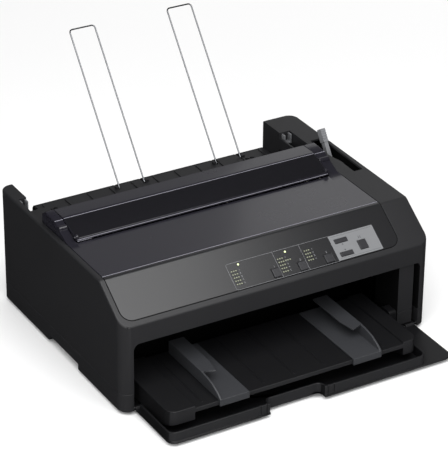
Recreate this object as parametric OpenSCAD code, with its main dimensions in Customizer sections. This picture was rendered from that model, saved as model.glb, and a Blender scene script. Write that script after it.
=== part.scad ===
// Dot matrix printer with a front sheet tray, hinged covers and two wire paper supports.
// X runs to the right as seen from the front, Y to the rear, Z up. Millimetres.

/* [Case] */
// Width of the case over its side walls
case_w = 410; // [385:1:500]
// Depth of the case from its front face to its back face
case_d = 310; // [300:1:380]
// Height of the top deck above the underside of the case
case_h = 146.5; // [145:0.5:175]
// Height of the upright front face
front_h = 110; // [108:0.5:112]
// Depth of the sloping front as seen from above
slope_run = 53; // [45:1:55]
// Height of the seam between lower and upper case
seam_h = 23; // [21:0.5:25]
// Wall thickness of the case mouldings
wall = 3; // [2.5:0.1:3.5]
// Radius of the upright corners of the case
corner_r = 13; // [8:1:15]
// Height of the rubber feet under the case
foot_h = 4; // [3:0.5:6]
// Distance of the front face ahead of the print line's datum
front_reach = 175; // [173:1:185]
// Width of the flat rim left of the covers
rim_w = 6.5; // [6:0.5:8]
// Width of the fixed deck right of the covers
deck_w = 37; // [36:1:40]

/* [Front cover] */
// Height of the front opening's top edge above the underside
mouth_h = 86.5; // [84:0.5:88]
// Width of the front pillar left of the opening
pillar_w = 15; // [14:0.5:18]
// Width of the skin right of the dark groove
skin_w = 13; // [13:0.5:16]
// Width of the pillar plate between the opening and the groove
plate_w = 21; // [18:0.5:23]
// Thickness of the front cover
door_t = 2.5; // [2:0.1:3]
// Height of the rim that stands on the front cover
door_rim_h = 14; // [10:1:14]
// Width of the finger notch in the front cover
notch_w = 72; // [50:1:80]

/* [Sheet tray] */
// How far the tray stands out of the front face
tray_out = 66; // [50:1:66]
// Depth of the tray from front to back
tray_d = 120; // [100:1:130]
// Height of the tray's paper surface above the underside
tray_h = 28.5; // [28:0.5:30]
// Width of the left tray end block
tray_block_w = 33; // [25:1:36]
// Width of each edge guide
guide_w = 38; // [30:1:42]

/* [Top covers] */
// Thickness of the smoked covers
cover_t = 2.5; // [2:0.1:3]
// Height of the ridge above the deck
ridge_h = 16; // [12:0.5:18]
// Radius of every small pivot pin
pivot_r = 2.5; // [2:0.1:2.5]

/* [Paper supports] */
// Diameter of the steel support wire
wire_d = 1.8; // [1.4:0.1:2.2]
// Length of each wire support
wire_len = 205; // [150:1:240]
// Distance between the two legs of a support
wire_gap = 34.4; // [25:0.5:40]
// Lean of the supports behind upright
wire_lean = 38.5; // [35:0.5:40]

/* [Print mechanism] */
// Radius of the rubber platen
platen_r = 12.5; // [10:0.5:13]
// Radius of the platen shaft
platen_shaft_r = 4; // [3:0.5:4.5]
// Depth of the platen axis under the deck
platen_drop = 45.5; // [45:0.5:46]
// Radius of the carriage shaft
carriage_shaft_r = 5; // [4:0.5:6]
// Radius of the platen knob
knob_r = 19; // [15:0.5:21]
// How far the platen knob stands out of the case
knob_out = 16; // [10:1:20]

/* [Fits] */
// Radial clearance of a shaft that turns in a bore
fit = 0.05; // [0.03:0.01:0.08]
// Gap between pieces that pass each other
gap = 0.4; // [0.3:0.05:0.6]

/* [Hidden] */
$fn = 48;

// Case planes
x_l = -case_w / 2;
x_r = case_w / 2;
y_f = -front_reach;
y_r = y_f + case_d;
z_b = foot_h;
z_seam = z_b + seam_h;
z_front = z_b + front_h;
z_deck = z_b + case_h;
z_floor = z_b + wall;
z_mouth = z_b + mouth_h;
slope_rise = z_deck - z_front;
slope_a = atan2(slope_rise, slope_run);
slope_len = sqrt(slope_run * slope_run + slope_rise * slope_rise);
y_top = y_f + slope_run;

// Space that the covers close
bay_l = x_l + rim_w;
bay_r = x_r - deck_w;
cover_y = y_top + 5;
bay_step_r = bay_r + 7.5;
bay_step_y = 50;
skirt_t = 2.5;
screw_post_r = 5.5;
block_l = x_l + 17;
block_r = x_r - 44;
block_y = y_r - 40;
block_low_z = z_b + 99;
block_back_y = y_r - 26;
rear_wall_z = z_b + 66;

// Front opening
open_l = x_l + pillar_w;
open_r = bay_r - 3;
mech_x = (open_l + open_r) / 2;
pillar_y = y_f + wall + 0.5;
groove_x = open_r + plate_w;
skin_x = x_r - skin_w;
lip_t = 2.5;
lip_d = 12;
left_cheek_d = 42;
skin_cheek_d = 24;
plate_cheek_d = 52;
skirt_drop = 25;

// Front cover
door_l = open_l + 1.5;
door_r = groove_x + 2.5;
door_y = y_f + door_t;
door_z = z_b + door_t;
door_len = z_mouth - door_z - 0.5;
rim_r_x = open_r - 12.5;
notch_x = (door_l + rim_r_x) / 2 - 6;
hinge_pin_r = 1.5;
knuckle_w = 12;
pin_end = 10;

// Sheet tray
tray_l = door_l + 6.5;
tray_r = rim_r_x - 5.5;
tray_y = y_f - tray_out;
tray_z = z_b + tray_h;
tray_top = tray_z + 2.5;
tray_under = z_b + 8;
tray_back = tray_y + tray_d;
tray_tip_z = door_z + 11.2;
tray_tip_run = 20;
right_block_w = 20;
guide_h = 16;
guide_top = tray_z + 0.3;
guide_back = tray_back - 4;
guide_l_x = tray_l + 63;
guide_r_x = tray_r - 52;

// Side frames and shafts
frame_t = 2;
frame_half = (open_r - open_l) / 2 - 1;
frame_in = frame_half - frame_t;
platen_y = 8;
platen_z = z_deck - platen_drop;
platen_half = frame_in - 30;
carriage_y = -50;
carriage_z = platen_z - 25;
carriage_w = 44;
rail_y = carriage_y - 28;
cartridge_z = platen_z - 1;
cartridge_h = 18;
cartridge_half = 150;
nose_y = platen_y - platen_r - 2;
print_y = -40;

// Gear train on the right frame
gear_module = 1.5;
platen_teeth = 40;
idler_teeth = 20;
tractor_teeth = 20;
pinion_teeth = 12;
gear_x = mech_x + frame_half + 7.5;
gear_w = 6;
platen_gear_r = platen_teeth * gear_module / 2;
idler_r = idler_teeth * gear_module / 2;
tractor_gear_r = tractor_teeth * gear_module / 2;
pinion_r = pinion_teeth * gear_module / 2;
train_a = -16;
idler_y = platen_y + (platen_gear_r + idler_r) * cos(train_a);
idler_z = platen_z + (platen_gear_r + idler_r) * sin(train_a);
tractor_y = platen_y + (platen_gear_r + 2 * idler_r + tractor_gear_r) * cos(train_a);
tractor_z = platen_z + (platen_gear_r + 2 * idler_r + tractor_gear_r) * sin(train_a);
pinion_a = -62;
pinion_y = platen_y + (platen_gear_r + pinion_r) * cos(pinion_a);
pinion_z = platen_z + (platen_gear_r + pinion_r) * sin(pinion_a);
motor_shaft_r = 2;

// Electrics
switch_y = y_f + 42;
switch_z = z_b + 50;
switch_h = 20;
switch_w = 13;
switch_axis_x = x_r - 5.3;
inlet_x = x_r - 40;
inlet_z = z_b + 45;
board_z = z_b + 32;
port_x = -60;

// Tractors
tractor_sq = 6;
tractor_w = 20;
tractor_x1 = mech_x - 105;
tractor_x2 = mech_x + 85;
sprocket_r = 11;
sprocket_hub_r = 7;
tractor_rod_r = 3;
tractor_rod_y = tractor_y + 19;
tractor_rod_z = tractor_z - 8;

// Belt drive
pulley_r = 8;
belt_t = 1.2;
belt_w = 6;
belt_y = rail_y + 6;
belt_z = carriage_z - 4;
motor_x = mech_x - 147;
idler_x = mech_x + 149;
carriage_motor_r = 17.5;
carriage_motor_len = 32;

// Top covers
cover_axis_y = 30;
cover_axis_z = z_deck - 5;
ridge_front_y = 2;
ridge_back_y = 25;
ridge_z = z_deck + ridge_h;
flap_y = -32;
flap_axis_y = -29;
flap_axis_z = z_deck + 5;
tower_w = 11;
flap_l = bay_l + tower_w + 1;
flap_r = bay_r - tower_w - 5;
flap_t = 2.5;

// Rear sheet guide and its wire supports
guide_plate_l = x_l + 45;
guide_plate_r = x_r - 44.5;
rear_axis_y = 42;
rear_axis_z = z_b + 107;
rear_top = z_b + 110.5;
rear_t = 3;
wire_r = wire_d / 2;
wire_axis_y = y_r - 12;
wire_axis_z = rear_top + 0.9;
wire_bend_r = 4;
wire_pin = 4;
wire_x1 = guide_plate_l + 127.5 - wire_gap / 2;
wire_x2 = guide_plate_r - 56.5 - wire_gap / 2;

// Control panel, laid out along the slope
panel_t = 2;
panel_s0 = 7;
panel_ledge = 1.5;
panel_gap = 0.5;
panel_corner_r = 14;
board_drop = 10;
button_travel = 0.6;
button_foot = 6;
small_buttons = [[2, 15.9, 10.5, 11], [36.8, 15.3, 10.5, 11], [72.2, 15.5, 10.5, 11]];
label_buttons = [[96.7, 32.9, 17, 5.5], [96.5, 15.4, 17, 5.5], [121.1, 21, 11, 12]];
label_x = 83;
label_s = 8.7;
label_w = 60.5;
label_len = 33;
led_dots = [[-47.3, 23.5, 3, 5], [13.5, 23, 3, 5], [49.8, 26, 3, 4], [22.5, 27.5, 3, 1]];
led_pitch_x = 2.9;
led_pitch_s = 4.2;
status_leds = [[-38.6, 38.5], [23.5, 38.1]];

// Centre of the whole object's box, so that it stands centred on the origin
knob_x = x_r + knob_out;
wire_tip_y = wire_axis_y + (wire_len - wire_r) * sin(wire_lean) + wire_r;
box_cx = (x_l + knob_x) / 2;
box_cy = (door_y - door_len + wire_tip_y) / 2;

module place() translate([-box_cx, -box_cy, 0]) children();

module box(x0, x1, y0, y1, z0, z1) translate([x0, y0, z0]) cube([x1 - x0, y1 - y0, z1 - z0]);

module xcyl(x0, x1, y, z, r) translate([x0, y, z]) rotate([0, 90, 0]) cylinder(h = x1 - x0, r = r);

module ycyl(x, y0, y1, z, r) translate([x, y1, z]) rotate([90, 0, 0]) cylinder(h = y1 - y0, r = r);

module zcyl(x, y, z0, z1, r) translate([x, y, z0]) cylinder(h = z1 - z0, r = r);

// A prism along X whose outline is drawn in Y and Z
module xprism(x0, x1) translate([x0, 0, 0]) rotate([90, 0, 90]) linear_extrude(x1 - x0) children();

module round_rect(w, d, r) {
    translate([r, 0]) square([w - 2 * r, d]);
    translate([0, r]) square([w, d - 2 * r]);
    for (x = [r, w - r], y = [r, d - r]) translate([x, y]) circle(r);
}

module on_slope() translate([0, y_f, z_front]) rotate([slope_a, 0, 0]) children();

// ---------- case ----------

module side_outline(inset, z_low) {
    shift = inset / cos(slope_a);
    tilt = tan(slope_a);
    polygon([[y_f + inset, z_low], [y_f + inset, z_front + inset * tilt - shift],
             [y_f + (z_deck - inset - z_front + shift) / tilt, z_deck - inset],
             [y_r - inset, z_deck - inset], [y_r - inset, z_low]]);
}

module case_solid(inset, z_low, z_high) intersection() {
    xprism(x_l + inset, x_r - inset) side_outline(inset, z_low);
    translate([x_l + inset, y_f + inset, z_low]) linear_extrude(z_high - z_low)
        round_rect(case_w - 2 * inset, case_d - 2 * inset, corner_r - inset);
}

module screw_spots() for (x = [x_l + 8, x_r - 8], y = [y_f + 15, y_r - 12]) translate([x, y, 0]) children();

module lever_slot() {
    slot_l = x_r - 19;
    slot_r = x_r - 5;
    translate([0, 0, z_deck - wall - 1]) linear_extrude(wall + 2) difference() {
        polygon([[slot_l, -37], [slot_r - 2, -37], [slot_r, 58], [slot_l - 3, 58], [slot_l - 3, 12]]);
        translate([slot_l - 21, -10]) circle(22);
    }
}

// cheeks of the front opening and the plate of its right pillar
module cheeks(low, high) {
    box(open_l - lip_t, open_l, y_f + 1, y_f + left_cheek_d, low, high);
    box(skin_x, skin_x + lip_t, y_f + 1, y_f + skin_cheek_d, low, high);
    box(open_r, groove_x, pillar_y, pillar_y + lip_t, low, high);
    box(open_r, open_r + lip_t, pillar_y, y_f + plate_cheek_d, low, high);
}

module upper_case() place() color([0.13, 0.13, 0.14]) difference() {
    union() {
        difference() {
            case_solid(0, z_seam, z_deck);
            case_solid(wall, z_seam - 1, z_deck);
        }
        // returns round the front opening
        box(open_l, skin_x, y_f + 1, y_f + lip_d, z_mouth, z_mouth + lip_t);
        cheeks(z_seam, z_mouth + lip_t);
        // skirt along the right deck, stepped out beside the rear guide
        box(bay_r, bay_r + skirt_t, cover_y, bay_step_y, z_deck - skirt_drop, z_deck - 1);
        box(bay_r, bay_step_r + skirt_t, bay_step_y - skirt_t, bay_step_y, z_deck - skirt_drop, z_deck - 1);
        box(bay_step_r, bay_step_r + skirt_t, bay_step_y - skirt_t, block_y + 1, z_deck - skirt_drop, z_deck - 1);
        // rear blocks, open below over the gears and longer down behind them
        for (span = [[x_l + 1, block_l], [block_r, x_r - 1]])
            box(span[0], span[1], block_y, block_y + skirt_t, block_low_z, z_deck - 1);
        for (x = [block_l - skirt_t, block_r]) {
            box(x, x + skirt_t, block_y, y_r - 1, block_low_z, z_deck - 1);
            box(x, x + skirt_t, block_back_y, y_r - 1, rear_wall_z, block_low_z + 1);
        }
        // low wall ahead of the right block
        box(block_r, block_r + skirt_t, bay_step_y - skirt_t, block_y + 1, z_deck - 22, z_deck - 7);
        // ledges beside the rear guide, with its pivot ears
        box(x_l + 1, guide_plate_l - gap, rear_axis_y - 8, block_y, z_deck - 22, z_deck - 19.5);
        box(guide_plate_l - 3.5, guide_plate_l - gap, rear_axis_y - 8, rear_axis_y + 8, rear_axis_z - 7,
            z_deck - 20);
        box(guide_plate_r + gap, bay_r + 2, rear_axis_y - 8, block_y, z_deck - 22, z_deck - 19.5);
        box(bay_r, bay_step_r + 1, bay_step_y - skirt_t, block_y, z_deck - 22, z_deck - 19.5);
        box(guide_plate_r + gap, guide_plate_r + 3.5, rear_axis_y - 8, rear_axis_y + 8, rear_axis_z - 7,
            z_deck - 20);
        // boss for the cover's left pivot
        box(x_l + 1, bay_l - gap, cover_axis_y - 8, cover_axis_y + 8, cover_axis_z - 7, z_deck - 1);
        screw_spots() zcyl(0, 0, z_seam, z_seam + 30, screw_post_r);
    }
    // opening for the covers
    box(bay_l, bay_r, cover_y, block_y, z_deck - wall - 1, z_deck + 1);
    box(bay_r - 1, bay_step_r, bay_step_y, block_y, z_deck - wall - 1, z_deck + 1);
    box(block_l, block_r, block_y - 1, y_r + 1, z_deck - wall - 1, z_deck + 1);
    box(block_l, block_r, y_r - wall - 1, y_r + 1, rear_wall_z, z_deck + 1);
    // pocket and window of the control panel
    on_slope() {
        panel_plan(0, panel_t, 0);
        panel_plan(-panel_ledge, wall + 3, 3);
    }
    box(bay_l, bay_r, y_top - 1, cover_y + 1, z_deck - panel_t, z_deck + 1);
    box(bay_l + panel_ledge + 1, bay_r - panel_ledge - 1, y_top - 2, cover_y + 1, z_deck - wall - 1, z_deck);
    // front opening
    box(open_l, skin_x, y_f - 1, y_f + wall + 0.5, z_seam - 1, z_mouth);
    // lever slot, shaft, switch and port holes
    lever_slot();
    xcyl(x_r - wall - 1, x_r + 1, platen_y, platen_z, platen_shaft_r + 1);
    xcyl(x_l + 1, bay_l + 1, cover_axis_y, cover_axis_z, pivot_r + fit);
    xcyl(bay_r - 1, bay_r + 3.5, cover_axis_y, cover_axis_z, pivot_r + fit);
    xcyl(guide_plate_l - 4, guide_plate_l + 1, rear_axis_y, rear_axis_z, pivot_r + fit);
    xcyl(guide_plate_r - 1, guide_plate_r + 4, rear_axis_y, rear_axis_z, pivot_r + fit);
    switch_hole(0.3);
    inlet_hole(0.1);
    ports_hole(0.2);
    screw_spots() zcyl(0, 0, z_seam - 1, z_seam + 18, 1.5);
}

module lower_case() place() color([0.11, 0.11, 0.12]) difference() {
    union() {
        difference() {
            case_solid(0, z_b, z_seam);
            difference() {
                case_solid(wall, z_floor, z_seam + 1);
                for (x = [x_l, x_r - 10]) box(x, x + 10, -68, 13, z_b, z_b + 10.5);
            }
        }
        cheeks(z_floor - 1, z_seam);
        screw_spots() zcyl(0, 0, z_floor - 1, z_seam, screw_post_r);
        for (x = [-150, -50, 50, 130]) zcyl(x, y_r - 45, z_floor - 1, board_z, 3.5);
        // runners that the sheet tray slides on
        for (x = [tray_l, tray_r - 14]) box(x, x + 14, y_f + 9, 55, z_floor - 1, tray_under - 0.3);
    }
    // mouth for the front cover, and the cover's swing
    box(open_l, skin_x, y_f - 1, y_f + wall + 0.5, z_b - 1, z_seam + 1);
    box(door_l - 1.5, door_r + 1.5, y_f - 1, door_y + door_t + 1, z_b - 1, door_z + door_t + 0.5);
    // raised recess along each side
    for (x = [x_l - 1, x_r - 6]) box(x, x + 7, -65, 10, z_b - 1, z_b + 7.5);
    // hinge pin bores
    xcyl(x_l + pin_end - 1, open_l + 1, door_y, door_z, hinge_pin_r + fit);
    xcyl(door_r, x_r - pin_end + 1, door_y, door_z, hinge_pin_r + fit);
    screw_spots() {
        zcyl(0, 0, z_b - 1, z_seam + 1, 1.7);
        zcyl(0, 0, z_b - 1, z_b + 8, 3.4);
    }
    // vents in the floor
    for (i = [0 : 7]) box(-60 + i * 12, -54 + i * 12, -60, -10, z_b - 1, z_floor + 1);
}

module case_screws() place() color([0.55, 0.55, 0.57]) screw_spots() {
    zcyl(0, 0, z_b + 8 - 2.4, z_b + 8, 3);
    zcyl(0, 0, z_b + 8, z_seam + 14, 1.5);
}

module rubber_feet() place() color([0.08, 0.08, 0.08])
    for (x = [x_l + 32, x_r - 32], y = [y_f + 30, y_r - 30])
        translate([x, y, 0]) {
            cylinder(h = z_b - 1, r = 8.5);
            translate([0, 0, z_b - 1]) cylinder(h = 1, r = 9.5);
        }

module guide_clips() place() color([0.42, 0.43, 0.45])
    for (span = [[bay_l + 0.6, block_l - 0.8], [block_r + 3, bay_step_r - 0.6]]) {
        box(span[0], span[1], block_y - 7, block_y, z_deck - 14, z_deck - 11.5);
        box(span[0], span[0] + 2, block_y - 7, block_y, z_deck - 11.5, z_deck - 2);
        box(span[1] - 2, span[1], block_y - 7, block_y, z_deck - 11.5, z_deck - 2);
    }

// ---------- control panel ----------

// Panel outline in slope axes: x along the case, y up the slope
module panel_plan(grow, depth, lift) translate([0, 0, -depth]) linear_extrude(depth + lift) {
    x0 = bay_l - grow;
    x1 = bay_r + grow;
    s0 = panel_s0 - grow;
    r = panel_corner_r + grow;
    translate([x0 + r, s0]) square([x1 - x0 - 2 * r, r]);
    translate([x0, s0 + r]) square([x1 - x0, slope_len - s0 - r + grow]);
    for (x = [x0 + r, x1 - r]) translate([x, s0 + r]) circle(r);
}

module all_buttons(grow, low, high) for (b = concat(small_buttons, label_buttons))
    translate([b[0] - b[2] / 2 - grow, b[1] - b[3] / 2 - grow, low])
        cube([b[2] + 2 * grow, b[3] + 2 * grow, high - low]);

module led_dot_row(grow, low, high) for (m = led_dots, i = [0 : m[2] - 1], j = [0 : m[3] - 1])
    translate([m[0] + (i - (m[2] - 1) / 2) * led_pitch_x - 0.7 - grow,
               m[1] + (j - (m[3] - 1) / 2) * led_pitch_s - 0.6 - grow, low])
        cube([1.4 + 2 * grow, 1.2 + 2 * grow, high - low]);

module control_panel() place() color([0.16, 0.16, 0.17]) difference() {
    union() {
        on_slope() intersection() {
            panel_plan(-panel_gap, panel_t - 0.05, 0);
            translate([x_l, 0, -panel_t - 1]) cube([case_w, slope_len - 0.6, panel_t + 2]);
        }
        xprism(bay_l + panel_gap, bay_r - panel_gap)
            polygon([[y_top - 0.6, z_deck - 0.42], [y_top, z_deck], [cover_y - gap, z_deck],
                     [cover_y - gap, z_deck - panel_t + 0.05], [y_top + 0.5, z_deck - panel_t + 0.05]]);
        on_slope() for (x = [-180, -65, 60, 150], s = [18, 52])
            translate([x, s, -board_drop + 1.6]) cylinder(h = board_drop - 1.6 - 0.5, r = 2.2);
    }
    on_slope() {
        all_buttons(0.3, -panel_t - 1, 1);
        led_dot_row(0.05, -1.2, 1);
        for (p = status_leds) translate([p[0], p[1], -1.2]) cylinder(h = 3, r = 1.35);
        translate([label_x - 0.1, label_s - 0.1, -0.3]) cube([label_w + 0.2, label_len + 0.2, 1]);
    }
}

module panel_label() place() color([0.66, 0.67, 0.68]) on_slope() difference() {
    translate([label_x, label_s, -0.3]) cube([label_w, label_len, 0.35]);
    all_buttons(0.3, -1, 1);
}

module indicator_leds() place() color([0.75, 0.85, 0.35]) on_slope() {
    led_dot_row(0, -1.2, 0.1);
    for (p = status_leds) translate([p[0], p[1], -1.2]) cylinder(h = 1.5, r = 1.3);
}

module panel_board() place() color([0.1, 0.33, 0.2]) on_slope() {
    translate([-186, 12, -board_drop]) cube([342, 46, 1.6]);
    for (b = concat(small_buttons, label_buttons))
        translate([b[0] - 2, b[1] - 2, -board_drop + 1.6])
            cube([4, 4, board_drop - 1.6 - button_foot - button_travel - 0.3]);
}

// A cap with a wider foot under the panel that keeps it captive
module button(b, tint) place() color(tint) on_slope() {
    translate([b[0] - b[2] / 2, b[1] - b[3] / 2, -panel_t - 1.2]) cube([b[2], b[3], panel_t + 2.2]);
    translate([b[0] - b[2] / 2 - 1, b[1] - b[3] / 2 - 1, -button_foot])
        cube([b[2] + 2, b[3] + 2, button_foot - panel_t - 0.35]);
}

module mode_button_1() button(small_buttons[0], [0.1, 0.1, 0.11]);
module mode_button_2() button(small_buttons[1], [0.1, 0.1, 0.11]);
module mode_button_3() button(small_buttons[2], [0.1, 0.1, 0.11]);
module feed_button_1() button(label_buttons[0], [0.2, 0.2, 0.22]);
module feed_button_2() button(label_buttons[1], [0.2, 0.2, 0.22]);
module pause_button() button(label_buttons[2], [0.2, 0.2, 0.22]);

// ---------- electrics ----------

module switch_hole(grow) box(x_r - wall - 1, x_r + 1, switch_y - switch_w / 2 - grow,
                             switch_y + switch_w / 2 + grow, switch_z - switch_h / 2 - grow,
                             switch_z + switch_h / 2 + grow);

// Rocker with a slight valley in its face; it tips about its middle
module power_switch() place() color([0.07, 0.07, 0.07]) difference() {
    half_w = switch_w / 2 - 0.3;
    translate([0, switch_y + half_w, 0]) rotate([90, 0, 0]) linear_extrude(2 * half_w)
        polygon([[x_r - 7.5, switch_z - 4], [x_r - 3.5, switch_z - 8.8], [x_r + 1.6, switch_z - 8.8],
                 [x_r - 0.4, switch_z], [x_r + 0.9, switch_z + 8.8], [x_r - 3.5, switch_z + 8.8],
                 [x_r - 7.5, switch_z + 4]]);
    ycyl(switch_axis_x, switch_y - switch_w, switch_y + switch_w, switch_z, 2 + fit);
}

// Housing behind the wall, with the pin that the rocker tips on
module switch_body() place() color([0.12, 0.12, 0.12]) {
    half_w = switch_w / 2;
    half_h = switch_h / 2 + 0.3;
    difference() {
        box(x_r - wall - 14, x_r - wall, switch_y - half_w - 1.5, switch_y + half_w + 1.5,
            switch_z - half_h - 1.5, switch_z + half_h + 1.5);
        box(x_r - wall - 10, x_r - wall + 1, switch_y - half_w, switch_y + half_w, switch_z - half_h,
            switch_z + half_h);
    }
    ycyl(switch_axis_x, switch_y - half_w - 1, switch_y + half_w + 1, switch_z, 2);
    for (dz = [-5, 5]) box(x_r - wall - 21, x_r - wall - 14, switch_y - 2, switch_y + 2, switch_z + dz - 0.4,
                           switch_z + dz + 0.4);
}

module inlet_hole(grow) box(inlet_x - 14 - grow, inlet_x + 14 + grow, y_r - wall - 1, y_r + 1,
                            inlet_z - 10.5 - grow, inlet_z + 10.5 + grow);
module power_inlet() place() color([0.05, 0.05, 0.05]) difference() {
    box(inlet_x - 14, inlet_x + 14, y_r - 22, y_r - 0.5, inlet_z - 10.5, inlet_z + 10.5);
    box(inlet_x - 11.5, inlet_x + 11.5, y_r - 18, y_r, inlet_z - 8, inlet_z + 8);
}

module ports_hole(grow) {
    box(port_x - 38 - grow, port_x + 38 + grow, y_r - wall - 1, y_r + 1, board_z + 1.6 - grow,
        board_z + 17.6 + grow);
    box(port_x + 60 - grow, port_x + 72 + grow, y_r - wall - 1, y_r + 1, board_z + 1.6 - grow,
        board_z + 12.6 + grow);
}
module interface_ports() place() color([0.62, 0.63, 0.65]) {
    difference() {
        box(port_x - 38, port_x + 38, y_r - 20, y_r - 0.5, board_z + 1.6, board_z + 17.6);
        box(port_x - 32, port_x + 32, y_r - 8, y_r, board_z + 6.6, board_z + 13.6);
    }
    difference() {
        box(port_x + 60, port_x + 72, y_r - 20, y_r - 0.5, board_z + 1.6, board_z + 12.6);
        box(port_x + 62, port_x + 70, y_r - 10, y_r, board_z + 3.6, board_z + 11);
    }
}

module main_board() place() color([0.12, 0.36, 0.22]) {
    box(-170, 145, y_r - 66, y_r - wall - 2, board_z, board_z + 1.6);
    for (x = [-140, 20, 60, 100]) box(x, x + 22, y_r - 58, y_r - 36, board_z + 1.6, board_z + 6);
    for (x = [-100, -85]) zcyl(x, y_r - 52, board_z + 1.6, board_z + 16, 5);
}

module power_supply() place() color([0.6, 0.61, 0.62]) difference() {
    box(open_r + 5, x_r - wall - 1, y_f + 54, -69, z_floor, z_b + 80);
    box(open_r + 6.2, x_r - wall - 2.2, y_f + 55.2, -70.2, z_floor + 1.2, z_b + 81);
}

// ---------- print mechanism ----------

module side_frame(bores) difference() {
    union() {
        xprism(frame_in, frame_half)
            polygon([[-118, z_floor], [100, z_floor], [tractor_rod_y + 6, tractor_z + 12],
                     [30, tractor_z + 18], [22, z_deck - 24], [-62, z_deck - 24], [-118, z_deck - 36]]);
        // foot on the floor and bracket under the ribbon cartridge
        box(frame_in - 9, frame_in + 1, 68, 90, z_floor, z_floor + 2);
        box(frame_in - 9, frame_in + 1, rail_y - 9, rail_y + 3, cartridge_z - 2, cartridge_z);
    }
    xcyl(frame_in - 1, frame_half + 1, platen_y, platen_z, platen_shaft_r + fit);
    xcyl(frame_in - 1, frame_half + 1, carriage_y, carriage_z, carriage_shaft_r);
    xcyl(frame_in - 1, frame_half + 1, tractor_y, tractor_z, 4.5 + fit);
    xcyl(frame_in - 1, frame_half + 1, tractor_rod_y, tractor_rod_z, tractor_rod_r);
    // lightening holes
    for (y = [-100, -10, 40]) box(frame_in - 1, frame_half + 1, y, y + 36, z_b + 18, z_b + 50);
    if (bores) {
        xcyl(frame_in - 1, frame_half + 1, pinion_y, pinion_z, 5);
        xcyl(frame_in - 1, frame_half + 1, idler_y, idler_z, 2.5);
    }
}

module side_frame_left() place() color([0.6, 0.62, 0.64]) translate([mech_x, 0, 0]) mirror([1, 0, 0])
    side_frame(false);

module side_frame_right() place() color([0.6, 0.62, 0.64]) translate([mech_x, 0, 0]) union() {
    side_frame(true);
    xcyl(frame_in, frame_half + 11.5, idler_y, idler_z, 2.5);
}

module carriage_shaft() place() color([0.78, 0.79, 0.8])
    xcyl(mech_x - frame_half - 3, mech_x + frame_half + 3, carriage_y, carriage_z, carriage_shaft_r);

module tractor_rod() place() color([0.78, 0.79, 0.8])
    xcyl(mech_x - frame_half - 2, mech_x + frame_half + 2, tractor_rod_y, tractor_rod_z, tractor_rod_r);

module carriage_rail() place() color([0.62, 0.63, 0.65]) difference() {
    union() {
        box(mech_x - frame_in, mech_x + frame_in, rail_y - 1.5, rail_y, z_b + 55, carriage_z + 16);
        ycyl(idler_x, rail_y - 1, belt_y + belt_w / 2 + 2, belt_z, 2);
    }
    ycyl(motor_x, rail_y - 3, rail_y + 1, belt_z, 6);
}

module carriage_motor() place() color([0.2, 0.2, 0.21])
    ycyl(motor_x, rail_y - 1.5 - carriage_motor_len, rail_y - 1.5, belt_z, carriage_motor_r);

// Toothless loop round both pulleys
module belt_loop(r) {
    translate([motor_x, 0]) circle(r);
    translate([idler_x, 0]) circle(r);
    translate([motor_x, -r]) square([idler_x - motor_x, 2 * r]);
}

module timing_belt() place() color([0.06, 0.06, 0.06])
    translate([0, belt_y + belt_w / 2, belt_z]) rotate([90, 0, 0]) linear_extrude(belt_w) difference() {
        belt_loop(pulley_r + belt_t);
        belt_loop(pulley_r + 0.05);
    }

module pulley(x, bore) difference() {
    union() {
        ycyl(x, belt_y - belt_w / 2 - 0.5, belt_y + belt_w / 2 + 0.5, belt_z, pulley_r);
        ycyl(x, belt_y - belt_w / 2 - 1.5, belt_y - belt_w / 2 - 0.5, belt_z, pulley_r + 2.5);
        ycyl(x, belt_y + belt_w / 2 + 0.5, belt_y + belt_w / 2 + 1.5, belt_z, pulley_r + 2.5);
    }
    ycyl(x, belt_y - belt_w, belt_y + belt_w, belt_z, bore);
}

module drive_pulley() place() color([0.75, 0.73, 0.6]) {
    pulley(motor_x, motor_shaft_r);
    ycyl(motor_x, rail_y - 1.5, belt_y + belt_w / 2 + 2, belt_z, motor_shaft_r);
}

module idler_pulley() place() color([0.75, 0.73, 0.6]) pulley(idler_x, 2 + fit);

module carriage() place() color([0.14, 0.14, 0.15]) difference() {
    union() {
        box(mech_x - carriage_w / 2, mech_x + carriage_w / 2, carriage_y - 12, carriage_y + 14,
            carriage_z - 9, carriage_z + 11);
        // foot that hooks over the rail and clamps the belt's lower run
        box(mech_x - 12, mech_x + 12, rail_y - 4, carriage_y - 11, carriage_z + 16 + gap, carriage_z + 19);
        box(mech_x - 12, mech_x + 12, carriage_y - 12, carriage_y - 10, carriage_z + 5, carriage_z + 19);
        box(mech_x - 12, mech_x + 12, rail_y - 4, rail_y - 1.5 - gap, carriage_z + 8, carriage_z + 19);
        box(mech_x - 9, mech_x + 9, rail_y + 1.5, carriage_y - 11, belt_z - pulley_r - 4, belt_z - 3);
    }
    xcyl(mech_x - carriage_w, mech_x + carriage_w, carriage_y, carriage_z, carriage_shaft_r + fit);
    box(mech_x - 30, mech_x + 30, belt_y - belt_w / 2 - gap, belt_y + belt_w / 2 + gap,
        belt_z - pulley_r - belt_t - gap, belt_z - pulley_r + gap);
}

module print_head() place() color([0.35, 0.35, 0.36]) {
    // finned body
    box(mech_x - 15, mech_x + 15, print_y + 14, print_y + 20, carriage_z + 11, platen_z + 10);
    for (i = [0 : 5]) box(mech_x - 15, mech_x + 15, print_y + i * 2.4, print_y + i * 2.4 + 1.2,
                          carriage_z + 11, platen_z + 10);
    box(mech_x - 8, mech_x + 8, print_y, print_y + 14, carriage_z + 11, platen_z + 6);
    // nose that carries the pins to the paper
    box(mech_x - 9, mech_x + 9, print_y + 20, nose_y - 6, platen_z - 8, platen_z + 8);
    box(mech_x - 3, mech_x + 3, nose_y - 6, nose_y, platen_z - 5, platen_z + 5);
}

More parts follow.
